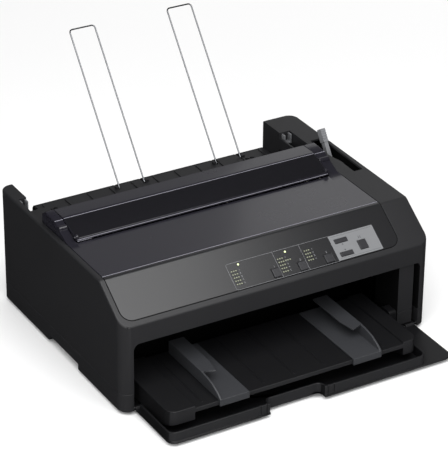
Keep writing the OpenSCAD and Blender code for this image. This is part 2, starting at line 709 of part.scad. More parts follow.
module ribbon_cartridge() place() color([0.09, 0.09, 0.1]) difference() {
    union() {
        box(mech_x - cartridge_half, mech_x + cartridge_half, rail_y - 34, rail_y + 15, cartridge_z,
            cartridge_z + cartridge_h);
        for (side = [-1, 1]) box(mech_x + side * (cartridge_half - 8) - 8, mech_x + side * (cartridge_half - 8) + 8,
                                 rail_y + 14, nose_y, cartridge_z + 1, cartridge_z + 15);
        for (side = [-1, 1]) box(mech_x + side * (cartridge_half + 12) - 12, mech_x + side * (cartridge_half + 12) + 12,
                                 rail_y - 10, rail_y + 4, cartridge_z, cartridge_z + 3);
    }
    zcyl(mech_x - 100, rail_y - 12, cartridge_z + 4, cartridge_z + cartridge_h + 1, 3 + fit);
}

module ribbon_knob() place() color([0.4, 0.41, 0.43]) {
    zcyl(mech_x - 100, rail_y - 12, cartridge_z + 5, cartridge_z + cartridge_h + 0.5, 3);
    translate([mech_x - 100, rail_y - 12, cartridge_z + cartridge_h + 0.4]) difference() {
        cylinder(h = 7, r = 9);
        for (i = [0 : 11]) rotate(i * 30) translate([9.4, 0, -1]) cylinder(h = 9, r = 1, $fn = 16);
    }
}

module ink_ribbon() place() color([0.03, 0.03, 0.04])
    box(mech_x - cartridge_half + 16, mech_x + cartridge_half - 16, nose_y + 0.5, nose_y + 0.9, platen_z - 6,
        platen_z + 7);

module paper_pan() place() color([0.55, 0.56, 0.58])
    translate([mech_x - frame_in, platen_y, platen_z]) rotate([90, 0, 90]) linear_extrude(2 * frame_in)
        difference() {
            circle(platen_r + 2.6);
            circle(platen_r + 1.6);
            translate([-40, -7]) square([80, 40]);
        }

module platen_roller() place() color([0.1, 0.1, 0.1]) difference() {
    xcyl(mech_x - platen_half, mech_x + platen_half, platen_y, platen_z, platen_r);
    xcyl(mech_x - platen_half - 1, mech_x + platen_half + 1, platen_y, platen_z, platen_shaft_r);
}

module platen_shaft() place() color([0.78, 0.79, 0.8])
    xcyl(mech_x - frame_half - 4, knob_x - 2, platen_y, platen_z, platen_shaft_r);

module platen_knob() place() color([0.1, 0.1, 0.11]) difference() {
    union() {
        xcyl(x_r + 1, knob_x, platen_y, platen_z, knob_r - 1);
        for (i = [0 : 23]) translate([x_r + 2.5, platen_y, platen_z]) rotate([i * 15, 0, 0])
            translate([0, knob_r - 2, -1.2]) cube([knob_out - 5, 2, 2.4]);
    }
    xcyl(x_r - 1, knob_x - 2, platen_y, platen_z, platen_shaft_r);
}

// ---------- gears ----------

// Straight-flanked teeth close to an involute, thinned for backlash
module gear_outline(teeth, phase) {
    r = teeth * gear_module / 2;
    pitch_a = 360 / teeth;
    tip_r = r + 0.85 * gear_module;
    root_r = r - 1.15 * gear_module;
    polygon([for (i = [0 : teeth - 1], k = [0 : 3])
        let (a = phase + (i + [-0.3, -0.1, 0.1, 0.3][k]) * pitch_a, q = (k == 0 || k == 3) ? root_r : tip_r)
        [q * cos(a), q * sin(a)]]);
}

module gear(teeth, y, z, phase, bore) translate([gear_x, y, z]) rotate([90, 0, 90]) linear_extrude(gear_w)
    difference() {
        gear_outline(teeth, phase);
        circle(bore);
    }

module platen_gear() place() color([0.85, 0.84, 0.8])
    gear(platen_teeth, platen_y, platen_z, train_a, platen_shaft_r);

module idler_gear() place() color([0.85, 0.84, 0.8])
    gear(idler_teeth, idler_y, idler_z, 180 + train_a + 180 / idler_teeth, 2.5 + fit);

pinion_phase = 180 + pinion_a + 180 / pinion_teeth - (train_a - pinion_a) * platen_teeth / pinion_teeth;
module motor_pinion() place() color([0.8, 0.7, 0.4]) {
    gear(pinion_teeth, pinion_y, pinion_z, pinion_phase, motor_shaft_r);
    xcyl(mech_x + frame_in - 1.5, gear_x + gear_w + 1, pinion_y, pinion_z, motor_shaft_r);
}

module feed_motor() place() color([0.2, 0.2, 0.21]) difference() {
    xcyl(mech_x + frame_in - 24, mech_x + frame_in, pinion_y, pinion_z, 16);
    xcyl(mech_x + frame_in - 2, mech_x + frame_in + 1, pinion_y, pinion_z, motor_shaft_r + 0.5);
}

module tractor_shaft() place() color([0.7, 0.71, 0.73]) {
    box(mech_x - frame_half - 1, mech_x + frame_half + 1, tractor_y - tractor_sq / 2,
        tractor_y + tractor_sq / 2, tractor_z - tractor_sq / 2, tractor_z + tractor_sq / 2);
    xcyl(mech_x - frame_half - 2, mech_x - frame_in + 2, tractor_y, tractor_z, 4.5);
    xcyl(mech_x + frame_in - 2, gear_x + 1, tractor_y, tractor_z, 4.5);
    gear(tractor_teeth, tractor_y, tractor_z, 180 + train_a, 1);
}

module sprocket(x) difference() {
    union() {
        xcyl(x - 4, x + 4, tractor_y, tractor_z, sprocket_r);
        xcyl(x - tractor_w / 2 + 0.5, x + tractor_w / 2 - 0.5, tractor_y, tractor_z, sprocket_hub_r);
        for (i = [0 : 5]) translate([x, tractor_y, tractor_z]) rotate([i * 60, 0, 0])
            translate([0, 0, sprocket_r - 1]) cylinder(h = 3.2, r1 = 1.9, r2 = 1.1, $fn = 24);
    }
    box(x - tractor_w, x + tractor_w, tractor_y - tractor_sq / 2 - fit, tractor_y + tractor_sq / 2 + fit,
        tractor_z - tractor_sq / 2 - fit, tractor_z + tractor_sq / 2 + fit);
}

module sprocket_left() place() color([0.85, 0.84, 0.8]) sprocket(tractor_x1);
module sprocket_right() place() color([0.85, 0.84, 0.8]) sprocket(tractor_x2);

module tractor(x) difference() {
    union() {
        for (side = [-1, 1]) box(x + side * (tractor_w / 2 - 2) - 2, x + side * (tractor_w / 2 - 2) + 2,
                                 tractor_y - 17, tractor_rod_y + 6, tractor_rod_z - 6, tractor_z + 12);
        box(x - tractor_w / 2, x + tractor_w / 2, tractor_y + 15.5, tractor_rod_y - 1, tractor_z + 2,
            tractor_z + 12);
    }
    xcyl(x - tractor_w, x + tractor_w, tractor_y, tractor_z, sprocket_hub_r + fit);
    xcyl(x - tractor_w, x + tractor_w, tractor_rod_y, tractor_rod_z, tractor_rod_r + fit);
}

module tractor_left() place() color([0.12, 0.12, 0.13]) tractor(tractor_x1);
module tractor_right() place() color([0.12, 0.12, 0.13]) tractor(tractor_x2);

// ---------- levers ----------

lever_x = x_r - 17;
lever_w = 10;
lever_a = 34;
lever_tip = z_deck + 18 - platen_z;
module release_lever() place() color([0.45, 0.46, 0.48])
    translate([lever_x, platen_y, platen_z]) rotate([-lever_a, 0, 0]) difference() {
        union() {
            rotate([0, 90, 0]) cylinder(h = lever_w, r = platen_shaft_r + 4);
            translate([1, -4, 0]) cube([lever_w - 2, 8, lever_tip / cos(lever_a) - 12]);
            translate([0, -5, (z_deck + 3 - platen_z) / cos(lever_a)])
                cube([lever_w, 10, 17]);
        }
        translate([-1, 0, 0]) rotate([0, 90, 0]) cylinder(h = lever_w + 2, r = platen_shaft_r + fit);
        for (i = [0 : 4]) translate([-1, -5.6, (z_deck + 5.5 - platen_z) / cos(lever_a) + i * 3])
            cube([lever_w + 2, 1.2, 1.4]);
    }

thick_x = mech_x - frame_in + 2.5;
module thickness_lever() place() color([0.2, 0.35, 0.55])
    translate([thick_x, carriage_y, carriage_z]) difference() {
        union() {
            rotate([0, 90, 0]) cylinder(h = 5, r = carriage_shaft_r + 3.5);
            translate([0, -3.5, 0]) cube([5, 7, 46]);
            translate([-1.5, -4.5, 44]) cube([8, 9, 9]);
        }
        translate([-1, 0, 0]) rotate([0, 90, 0]) cylinder(h = 7, r = carriage_shaft_r + fit);
    }

// ---------- front cover, tray and edge guides ----------

module cover_hinge_pins() place() color([0.7, 0.71, 0.73]) {
    xcyl(x_l + pin_end, door_l + knuckle_w - 2, door_y, door_z, hinge_pin_r);
    xcyl(door_r - knuckle_w + 2, x_r - pin_end, door_y, door_z, hinge_pin_r);
}

// Cover in its opened place, lying level in front of the case
module front_cover() place() color([0.1, 0.1, 0.11]) difference() {
    tip = door_y - door_len;
    r = 10;
    union() {
        translate([door_l, tip, z_b]) linear_extrude(door_t) {
            round_rect(door_r - door_l, door_len - 1, r);
            translate([0, r]) square([door_r - door_l, door_len - r]);
        }
        translate([0, 0, z_b]) linear_extrude(door_rim_h) difference() {
            union() {
                translate([door_l, tip + 1.5]) round_rect(rim_r_x - door_l, 3 * r, r);
                translate([door_l, tip + 1.5 + r]) square([rim_r_x - door_l, door_len - r - 14]);
            }
            translate([door_l + 2.5, tip + 4]) round_rect(rim_r_x - door_l - 5, 3 * r, r - 2.5);
            translate([door_l + 2.5, tip + 4 + r]) square([rim_r_x - door_l - 5, door_len]);
        }
        // wall that turns in round the finger notch
        box(notch_x - notch_w / 2 - 2.5, notch_x + notch_w / 2 + 2.5, tip + 1.5, tip + 14.5, z_b, z_b + door_rim_h);
        for (x = [door_l, door_r - knuckle_w]) xcyl(x, x + knuckle_w, door_y, door_z, door_t);
    }
    box(notch_x - notch_w / 2, notch_x + notch_w / 2, tip - 1, tip + 12, z_b - 1, z_b + door_rim_h + 1);
    for (side = [-1, 1]) box(notch_x + side * (notch_w / 2 + 10) - 0.5, notch_x + side * (notch_w / 2 + 10) + 0.5,
                             tip - 1, tip + 3, z_b + door_t, z_b + door_rim_h + 1);
    xcyl(door_l - 1, door_l + knuckle_w - 1.5, door_y, door_z, hinge_pin_r + fit);
    xcyl(door_r - knuckle_w + 1.5, door_r + 1, door_y, door_z, hinge_pin_r + fit);
}

module tray_plan() {
    r = 12;
    translate([tray_l + r, tray_y]) square([tray_r - tray_l - 2 * r, tray_d]);
    translate([tray_l, tray_y + r]) square([tray_r - tray_l, tray_d - r]);
    for (x = [tray_l + r, tray_r - r]) translate([x, tray_y + r]) circle(r);
}

module sheet_tray() place() color([0.15, 0.15, 0.16]) difference() {
    translate([0, 0, tray_under]) linear_extrude(tray_top - tray_under) tray_plan();
    // bed between the end blocks, ribbed and open underneath
    box(tray_l + tray_block_w, tray_r - right_block_w, tray_y - 1, tray_back + 1, tray_z, tray_top + 1);
    box(tray_l + tray_block_w, tray_r - right_block_w, tray_y - 1, tray_y + 3, tray_under - 1, tray_z - 5.5);
    box(tray_l + tray_block_w, tray_r - right_block_w, tray_y + 3, tray_back + 1, tray_under - 1, tray_z - 3);
    for (i = [0 : 6]) box(tray_l + tray_block_w + 12 + i * 40, tray_l + tray_block_w + 14 + i * 40, tray_y + 8,
                          tray_back + 1, tray_z - 0.6, tray_z + 1);
    box(tray_l + 3, tray_l + tray_block_w - 3, tray_y + 20, tray_back + 1, tray_under + 4, tray_z - 0.5);
    // rising underside at the front, so that the closing cover passes under it
    xprism(tray_l - 1, tray_r + 1)
        polygon([[tray_y - 1, tray_under - 1], [tray_y - 1, tray_tip_z], [tray_y, tray_tip_z],
                 [tray_y + tray_tip_run, tray_under], [tray_y + tray_tip_run + 1, tray_under - 1]]);
}

// Guide with its fin on the left; the right one is its mirror image
module edge_guide() {
    fin_y = tray_y + 42;
    union() {
        box(0, guide_w, tray_y - 0.4, guide_back, guide_top, guide_top + 2);
        box(0, guide_w, tray_y - 2.8, tray_y - 0.4, guide_top - 6.5, guide_top + 2);
        xprism(0, 2.5)
            polygon([[tray_y - 2.8, guide_top], [tray_y - 2.8, guide_top + 2],
                     [tray_y + 4, guide_top + 7], [tray_y + 16, guide_top + 12.5],
                     [tray_y + 30, guide_top + guide_h - 1], [fin_y, guide_top + guide_h],
                     [guide_back, guide_top + guide_h], [guide_back, guide_top]]);
        translate([0, 0, guide_top + guide_h - 2]) linear_extrude(2)
            polygon([[0, fin_y - 2], [16, fin_y - 8], [20, fin_y + 14], [20, guide_back], [0, guide_back]]);
    }
}

module edge_guide_left() place() color([0.34, 0.35, 0.37]) translate([guide_l_x, 0, 0]) edge_guide();
module edge_guide_right() place() color([0.34, 0.35, 0.37]) translate([guide_r_x, 0, 0]) mirror([1, 0, 0])
    edge_guide();

// ---------- top covers ----------

module printer_cover() place() color([0.17, 0.16, 0.2]) difference() {
    union() {
        // flat panel and its side arms
        box(bay_l + gap, bay_r - gap, cover_y + gap, flap_y - 1, z_deck - cover_t, z_deck);
        for (span = [[bay_l + gap, flap_l - gap], [flap_r + gap, bay_r - gap]]) {
            xprism(span[0], span[1])
                polygon([[flap_y - 14, z_deck - 6], [flap_y - 14, z_deck], [flap_y + 4, z_deck + 1],
                         [ridge_front_y, ridge_z - 1], [ridge_back_y, ridge_z], [cover_axis_y + 3, ridge_z - 6],
                         [cover_axis_y + 3, cover_axis_z - 4], [cover_axis_y - 4, z_deck - 9]]);
        }
        // bar under the ridge that the flap rests on
        box(flap_l - 1, flap_r + 1, ridge_back_y - 4, ridge_back_y + 5, z_deck - 5, z_deck - 1.5);
        xcyl(x_l + 1.6, bay_l + 2, cover_axis_y, cover_axis_z, pivot_r);
        xcyl(bay_r - 2, bay_r + 3, cover_axis_y, cover_axis_z, pivot_r);
    }
    // each side arm is a shell, open below
    for (span = [[bay_l + gap + 2, flap_l - gap - 2], [flap_r + gap + 2, bay_r - gap - 2]])
        xprism(span[0], span[1])
            polygon([[flap_y + 6, z_deck - 10], [flap_y + 6, z_deck - 1], [ridge_front_y + 1, ridge_z - 4],
                     [ridge_back_y - 2, ridge_z - 3], [ridge_back_y - 2, z_deck - 10]]);
    xcyl(flap_l - 2.5, flap_l, flap_axis_y, flap_axis_z, 1.5 + fit);
    xcyl(flap_r, flap_r + 2.5, flap_axis_y, flap_axis_z, 1.5 + fit);
}

module exit_flap() place() color([0.2, 0.19, 0.23]) {
    difference() {
        xprism(flap_l, flap_r)
            polygon([[flap_y - 1, z_deck + 1.2], [flap_y + 1, z_deck + 4.5], [ridge_front_y - 2, ridge_z - 0.6],
                     [ridge_front_y + 2, ridge_z], [ridge_back_y, ridge_z], [ridge_back_y + 2, ridge_z - 2],
                     [ridge_back_y + 2, z_deck - 1.1], [ridge_back_y - 0.5, z_deck - 1.1],
                     [ridge_back_y - 0.5, ridge_z - flap_t], [ridge_front_y, ridge_z - flap_t],
                     [flap_y + 4, z_deck + 1.2]]);
        // relief over the side arms' pivots
        for (span = [[flap_l - 1, flap_l + 3], [flap_r - 3, flap_r + 1]])
            box(span[0], span[1], flap_y - 2, flap_y + 1.2, z_deck, z_deck + 2.2);
    }
    for (x = [flap_l, flap_r - 3]) xcyl(x, x + 3, flap_axis_y, flap_axis_z, 3);
    xcyl(flap_l - 2, flap_l + 1, flap_axis_y, flap_axis_z, 1.5);
    xcyl(flap_r - 1, flap_r + 2, flap_axis_y, flap_axis_z, 1.5);
}

// ---------- rear sheet guide and wire supports ----------

module wire_slots(x) for (dx = [0, wire_gap])
    box(x + dx - wire_r - gap, x + dx + wire_r + gap, wire_axis_y - 3.5, y_r + 6, rear_top - 2.4,
        rear_top + 6);

module wire_bosses(x) for (dx = [-wire_r - gap - wire_pin, wire_gap + wire_r + gap])
    box(x + dx, x + dx + wire_pin, wire_axis_y - 2.5, wire_axis_y + 2.5, rear_top - 1, rear_top + 3);

module rear_guide() place() color([0.1, 0.1, 0.11]) difference() {
    union() {
        xprism(guide_plate_l, guide_plate_r)
            polygon([[rear_axis_y - 5, rear_top - rear_t], [rear_axis_y - 5, rear_top],
                     [y_r - 4, rear_top], [y_r + 1, rear_top - 1.6], [y_r + 4, rear_top - 6],
                     [y_r + 4, rear_top - 14], [y_r + 1.5, rear_top - 14], [y_r + 1.5, rear_top - 6],
                     [y_r - 1, rear_top - 3.6], [y_r - 5, rear_top - rear_t]]);
        for (i = [0 : 10]) box(guide_plate_l + 8 + i * 30.3, guide_plate_l + 9.6 + i * 30.3, rear_axis_y,
                               y_r - 6, rear_top - 1, rear_top + 1.2);
        for (x = [guide_plate_l, guide_plate_r - 6]) xcyl(x, x + 6, rear_axis_y, rear_axis_z, pivot_r + 2);
        xcyl(guide_plate_l - 3, guide_plate_l + 2, rear_axis_y, rear_axis_z, pivot_r);
        xcyl(guide_plate_r - 2, guide_plate_r + 3, rear_axis_y, rear_axis_z, pivot_r);
        for (x = [wire_x1, wire_x2]) wire_bosses(x);
    }
    for (x = [wire_x1, wire_x2]) {
        wire_slots(x);
        xcyl(x - wire_r - gap - wire_pin - 1, x + wire_gap + wire_r + gap + wire_pin + 1, wire_axis_y,
             wire_axis_z, wire_r + fit);
    }
    // finger holes near both ends
    for (x = [guide_plate_l + 12, guide_plate_r - 34]) for (dx = [0, 7])
        zcyl(x + dx, wire_axis_y - 9, rear_top - 5, rear_top + 3, 3);
}

// One wire bent into a tall U, with its ends turned out as pivots
module support_wire(x) translate([x, wire_axis_y, wire_axis_z]) rotate([-wire_lean, 0, 0]) {
    top = wire_len - wire_r;
    for (side = [0, 1]) translate([side * wire_gap, 0, 0]) {
        translate([0, 0, -wire_r]) cylinder(h = top - wire_bend_r + wire_r, r = wire_r, $fn = 24);
        translate([side * wire_pin, 0, 0]) rotate([0, -90, 0]) cylinder(h = wire_pin, r = wire_r, $fn = 24);
    }
    translate([wire_bend_r, 0, top]) rotate([0, 90, 0])
        cylinder(h = wire_gap - 2 * wire_bend_r, r = wire_r, $fn = 24);
    translate([wire_bend_r, 0, top - wire_bend_r]) rotate([90, 0, 0]) rotate([0, 0, 90])
        rotate_extrude(angle = 90, $fn = 32) translate([wire_bend_r, 0]) circle(wire_r, $fn = 16);
    translate([wire_gap - wire_bend_r, 0, top - wire_bend_r]) rotate([90, 0, 0])
        rotate_extrude(angle = 90, $fn = 32) translate([wire_bend_r, 0]) circle(wire_r, $fn = 16);
}

module support_wire_left() place() color([0.75, 0.76, 0.78]) support_wire(wire_x1);
module support_wire_right() place() color([0.75, 0.76, 0.78]) support_wire(wire_x2);

// ---------- sub-parts ----------

upper_case();
lower_case();
control_panel();
panel_label();
indicator_leds();
panel_board();
main_board();
power_supply();
power_inlet();
interface_ports();
rubber_feet();
side_frame_left();
side_frame_right();
carriage_shaft();
carriage_rail();
ribbon_cartridge();
ink_ribbon();
carriage_motor();
feed_motor();
timing_belt();
paper_pan();
tractor_rod();
case_screws();
guide_clips();
switch_body();
cover_hinge_pins();
front_cover();
sheet_tray();
edge_guide_left();
edge_guide_right();
printer_cover();
exit_flap();
rear_guide();
support_wire_left();
support_wire_right();
release_lever();
platen_roller();
platen_shaft();
platen_knob();
platen_gear();
idler_gear();
motor_pinion();
tractor_shaft();
tractor_left();
tractor_right();
sprocket_left();
sprocket_right();
carriage();
print_head();
drive_pulley();
idler_pulley();
thickness_lever();
ribbon_knob();
mode_button_1();
mode_button_2();
mode_button_3();
feed_button_1();
feed_button_2();
pause_button();
power_switch();
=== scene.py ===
"""Dot matrix printer: the visible pieces, their finishes and the studio, laid out as a Blender add-on."""

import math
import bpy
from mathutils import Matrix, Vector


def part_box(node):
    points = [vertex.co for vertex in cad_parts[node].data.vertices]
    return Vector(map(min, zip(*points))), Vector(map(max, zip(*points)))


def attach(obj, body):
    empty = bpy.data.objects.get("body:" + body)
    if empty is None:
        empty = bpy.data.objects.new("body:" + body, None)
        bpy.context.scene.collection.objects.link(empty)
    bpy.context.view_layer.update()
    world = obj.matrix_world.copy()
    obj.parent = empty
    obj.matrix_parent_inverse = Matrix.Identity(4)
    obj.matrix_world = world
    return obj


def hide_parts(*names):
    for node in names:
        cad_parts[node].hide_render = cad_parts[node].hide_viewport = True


bl_info = {
    "name": "Dot Matrix Printer",
    "version": (1, 0, 0),
    "blender": (4, 5, 0),
    "location": "View3D > Sidebar > Printer",
    "description": "Builds a desktop dot matrix printer with open front cover, sheet tray and wire paper supports",
    "category": "Add Mesh",
}

import bmesh
import bpy
from bpy.props import FloatProperty, FloatVectorProperty, PointerProperty
from mathutils import Matrix, Vector
from mathutils.bvhtree import BVHTree

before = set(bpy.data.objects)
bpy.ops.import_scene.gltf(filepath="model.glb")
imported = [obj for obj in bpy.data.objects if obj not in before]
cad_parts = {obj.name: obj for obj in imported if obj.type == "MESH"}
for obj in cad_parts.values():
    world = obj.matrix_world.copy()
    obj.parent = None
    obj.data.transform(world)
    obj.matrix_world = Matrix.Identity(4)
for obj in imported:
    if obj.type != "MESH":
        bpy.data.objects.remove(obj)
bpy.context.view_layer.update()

MM = 0.001

# ---- places
# All places are in millimetres, from the middle of the case across, from the print line in depth and from the
# desk upwards. at() turns them to the frame's metres.

FRONT_REACH = 175
_lower_low, _lower_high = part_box("lower_case")
ORIGIN = Vector(((_lower_low.x + _lower_high.x) / 2, _lower_low.y + FRONT_REACH * MM, 0))


def at(x, y, z):
    return ORIGIN + Vector((x, y, z)) * MM


def span(node, axis):
    """Lowest and highest place of a frame node along one axis, in millimetres."""
    i = "xyz".index(axis)
    return tuple((corner[i] - ORIGIN[i]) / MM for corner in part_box(node))


CASE_L, CASE_R = span("lower_case", "x")
CASE_F, CASE_B = span("lower_case", "y")
UNDER = span("lower_case", "z")[0]
SEAM = UNDER + 23
DECK = span("upper_case", "z")[1]
FRONT_TOP = UNDER + 110
SLOPE_RUN = 53
SLOPE_TOP = CASE_F + SLOPE_RUN
SLOPE = math.atan2(DECK - FRONT_TOP, SLOPE_RUN)
SLOPE_LENGTH = math.hypot(DECK - FRONT_TOP, SLOPE_RUN)
WALL = 3
RIB = 2.5  # inner walls and skirts of the case
PLAY = 0.4  # beside each hinged part
PIN_BORE = 2.55
PRESS_PLAY = 0.3  # round each key

# bay that the covers close, and the blocks behind it
BAY_L, BAY_R = CASE_L + 6.5, CASE_R - 37
BAY_STEP_R, BAY_STEP_Y = BAY_R + 7.5, 50
COVER_F = SLOPE_TOP + 5
BLOCK_L, BLOCK_R, BLOCK_F = CASE_L + 17, CASE_R - 44, CASE_B - 40
BLOCK_BACK, BLOCK_LOW, REAR_WALL = CASE_B - 26, UNDER + 99, UNDER + 66

# front opening
MOUTH_L, MOUTH_R, MOUTH_TOP = CASE_L + 15, CASE_R - 13, UNDER + 86.5
MOUTH_LIP = MOUTH_TOP + RIB
PILLAR_X, PILLAR_Y, GROOVE_X = BAY_R - 3, CASE_F + 3.5, BAY_R + 18

# front cover, lying open
DOOR_L, DOOR_R = span("front_cover", "x")
DOOR_TIP = span("front_cover", "y")[0]
DOOR_PLATE, DOOR_WALL, DOOR_RIM, DOOR_HINGE_Y = 2.5, 2.5, 14, CASE_F + 2.5
RIM_R = PILLAR_X - 12.5
NOTCH_L, NOTCH_R, NOTCH_DEPTH = -60, 12, 12

# ridge over the paper exit, its flap and the arms beside it
FLAP_L, FLAP_R = CASE_L + 18.5, BAY_R - 16
FLAP_F, RIDGE_F, RIDGE_Z = -32, 2, DECK + 16
GUIDE_PLATE_L, GUIDE_PLATE_R = CASE_L + 45, CASE_R - 44.5
COVER_AXIS_Y, COVER_AXIS_Z = 30, DECK - 5
REAR_AXIS_Y, REAR_AXIS_Z = 42, UNDER + 107
PLATEN_Y, PLATEN_Z = 8, DECK - 45.5

# print on the panel: x across, s up the slope
PANEL_LOW = 7
PANEL_DEPTH = 2
ZONE = (-54, 83, 8.3, 42)
ZONE_LINES = (7.5, 43)
LABEL = (83, 143.5, 8.7, 41.7)
SQUARE_KEYS = ((2, 15.9, 10.5, 11), (36.8, 15.3, 10.5, 11), (72.2, 15.5, 10.5, 11))
LABEL_KEYS = ((96.7, 32.9, 17, 5.5), (96.5, 15.4, 17, 5.5), (121.1, 21, 11, 12))
LAMP_BLOCKS = ((-47.3, 23.5, 3, 5), (13.5, 23, 3, 5), (49.8, 26, 3, 4), (22.5, 27.5, 3, 1))
LAMP_PITCH = (2.9, 4.2)
LIT_LAMPS = ((-38.6, 38.5), (23.5, 38.1))

# ---- settings


def linear_colour(code):
    """Linear RGBA of an sRGB hex value such as '3A3A3C'."""
    channels = [int(code[i : i + 2], 16) / 255 for i in (0, 2, 4)]
    linear = [c / 12.92 if c <= 0.04045 else ((c + 0.055) / 1.055) ** 2.4 for c in channels]
    return (*linear, 1)


def length_setting(name, text, millimetres):
    return FloatProperty(name=name, description=text, default=millimetres * MM, min=0, unit="LENGTH")


def colour_setting(name, text, code):
    return FloatVectorProperty(name=name, description=text, default=linear_colour(code)[:3], subtype="COLOR",
                               size=3, min=0, max=1)


def power_setting(name, text, watts):
    return FloatProperty(name=name, description=text, default=watts, min=0, unit="POWER")


class PrinterShape(bpy.types.PropertyGroup):
    corner: length_setting("Upright corners", "Radius of the upright corners of the case", 13)
    rim: length_setting("Deck edge", "Radius along the outer edge of the deck and the slope", 2.2)
    bend: length_setting("Lower bend", "Radius where the front face turns into the slope", 3)
    roll: length_setting("Upper bend", "Radius where the slope rolls over into the deck", 6)
    crease: length_setting("Moulded edge", "Radius on every cut edge of the case", 0.5)
    soft_edge: length_setting(
        "Soft edge", "Radius on the edges of the lower case, tray and front cover, before a factor of each", 0.9)


class PrinterFinish(bpy.types.PropertyGroup):
    case: colour_setting("Case", "Colour of the upper and lower case", "242426")
    panel: colour_setting("Panel", "Colour of the control panel", "1E1E20")
    cover: colour_setting("Covers", "Colour of the smoked covers", "201F26")
    # painted shade: the case colour darkened for the upper faces of the tray and front cover
    tray: colour_setting("Tray", "Colour of the sheet tray and front cover", "141416")
    guide: colour_setting("Edge guides", "Colour of the edge guides", "353639")
    lever: colour_setting("Levers", "Colour of the levers and clips", "7C7D80")
    label: colour_setting("Label", "Colour of the silver label", "757678")
    ink: colour_setting("Ink", "Colour of the printed lines and figures", "7C7D80")


class PrinterStudio(bpy.types.PropertyGroup):
    key: power_setting("Panel light", "Power of the soft light over the panel", 7.5)
    side: power_setting("Back lights", "Power of the soft lights behind the covers", 1.2)
    front: power_setting("Front light", "Power of the light in front", 3)
    sky: FloatProperty(name="Surround", description="Brightness of the pale surround", default=0.9, min=0)


# ---- mesh tools


def new_object(name, data):
    thing = bpy.data.objects.new(name, data)
    bpy.context.scene.collection.objects.link(thing)
    return thing


def new_piece(name, bm):
    """Object made from a bmesh in case millimetres."""
    mesh = bpy.data.meshes.new(name)
    bm.transform(Matrix.Translation(ORIGIN) @ Matrix.Scale(MM, 4))
    bm.to_mesh(mesh)
    bm.free()
    return new_object(name, mesh)


def filleted(corners, steps=6):
    """Closed outline through (u, v, radius) corners, each turned by an arc of its own radius."""
    outline = []
    for i, (u, v, radius) in enumerate(corners):
        corner = Vector((u, v))
        if radius <= 0:
            outline.append((u, v))
            continue
        before = (Vector(corners[i - 1][:2]) - corner).normalized()
        after = (Vector(corners[(i + 1) % len(corners)][:2]) - corner).normalized()
        half = before.angle(after) / 2
        centre = corner + (before + after).normalized() * radius / math.sin(half)
        start = corner + before * radius / math.tan(half) - centre
        end = corner + after * radius / math.tan(half) - centre
        turn = math.atan2(start.x * end.y - start.y * end.x, start.dot(end))
        first = math.atan2(start.y, start.x)
        for k in range(steps + 1):
            angle = first + turn * k / steps
            outline.append((centre.x + radius * math.cos(angle), centre.y + radius * math.sin(angle)))
    return outline


AXES = {"X": lambda u, v, w: (w, u, v), "Y": lambda u, v, w: (u, w, v), "Z": lambda u, v, w: (u, v, w)}


def prism_mesh(outline, low, high, axis="Z"):
    """An outline drawn across an axis and drawn out along it, as a bmesh."""
    bm = bmesh.new()
    place = AXES[axis]
    floor = [bm.verts.new(place(u, v, low)) for u, v in outline]
    roof = [bm.verts.new(place(u, v, high)) for u, v in outline]
    bm.faces.new(floor)
    bm.faces.new(roof)
    for i in range(len(outline)):
        j = (i + 1) % len(outline)
        bm.faces.new((floor[i], floor[j], roof[j], roof[i]))
    bmesh.ops.recalc_face_normals(bm, faces=bm.faces)
    return bm


def prism(outline, low, high, axis="Z"):
    return new_piece("form", prism_mesh(outline, low, high, axis))


def block(x0, x1, y0, y1, z0, z1):
    return prism([(x0, y0), (x1, y0), (x1, y1), (x0, y1)], z0, z1)


def ring(u, v, radius, steps):
    return [(u + radius * math.cos(math.tau * i / steps), v + radius * math.sin(math.tau * i / steps))
            for i in range(steps)]


def rod_mesh(y, z, radius, low, high, steps=32):
    """A round bar across the case."""
    return prism_mesh(ring(y, z, radius, steps), low, high, "X")


def rod(y, z, radius, low, high):
    return new_piece("form", rod_mesh(y, z, radius, low, high))


SLOPE_FRAME = Matrix.Translation((0, CASE_F, FRONT_TOP)) @ Matrix.Rotation(SLOPE, 4, "X")


def slope_mesh(outline, low, high):
    """An outline drawn on the slope, x across and s up it, drawn out square to the slope."""
    bm = prism_mesh(outline, low, high)
    bm.transform(SLOPE_FRAME)
    return bm


def slope_prism(outline, low, high):
    return new_piece("form", slope_mesh(outline, low, high))


def rectangle(x0, x1, s0, s1):
    return [(x0, s0), (x1, s0), (x1, s1), (x0, s1)]


def settle(piece):
    """Turns a piece's modifiers into plain mesh."""
    bpy.context.view_layer.update()
    mesh = bpy.data.meshes.new_from_object(piece.evaluated_get(bpy.context.evaluated_depsgraph_get()))
    piece.modifiers.clear()
    piece.data = mesh
    return piece


def combine(piece, forms, operation):
    """Joins forms to a piece, cuts them out of it or keeps what they share."""
    for form in forms:
        step = piece.modifiers.new("Step", "BOOLEAN")
        step.object = form
        step.operation = operation
        step.solver = "EXACT"
    settle(piece)
    for form in forms:
        bpy.data.objects.remove(form)
    return piece


def clean(bm):
    """Welds doubled points and removes edges that lie in a flat face."""
    bmesh.ops.remove_doubles(bm, verts=bm.verts, dist=0.002 * MM)
    bmesh.ops.dissolve_limit(bm, angle_limit=math.radians(0.5), verts=bm.verts, edges=bm.edges)
    bmesh.ops.dissolve_degenerate(bm, edges=bm.edges, dist=0.002 * MM)


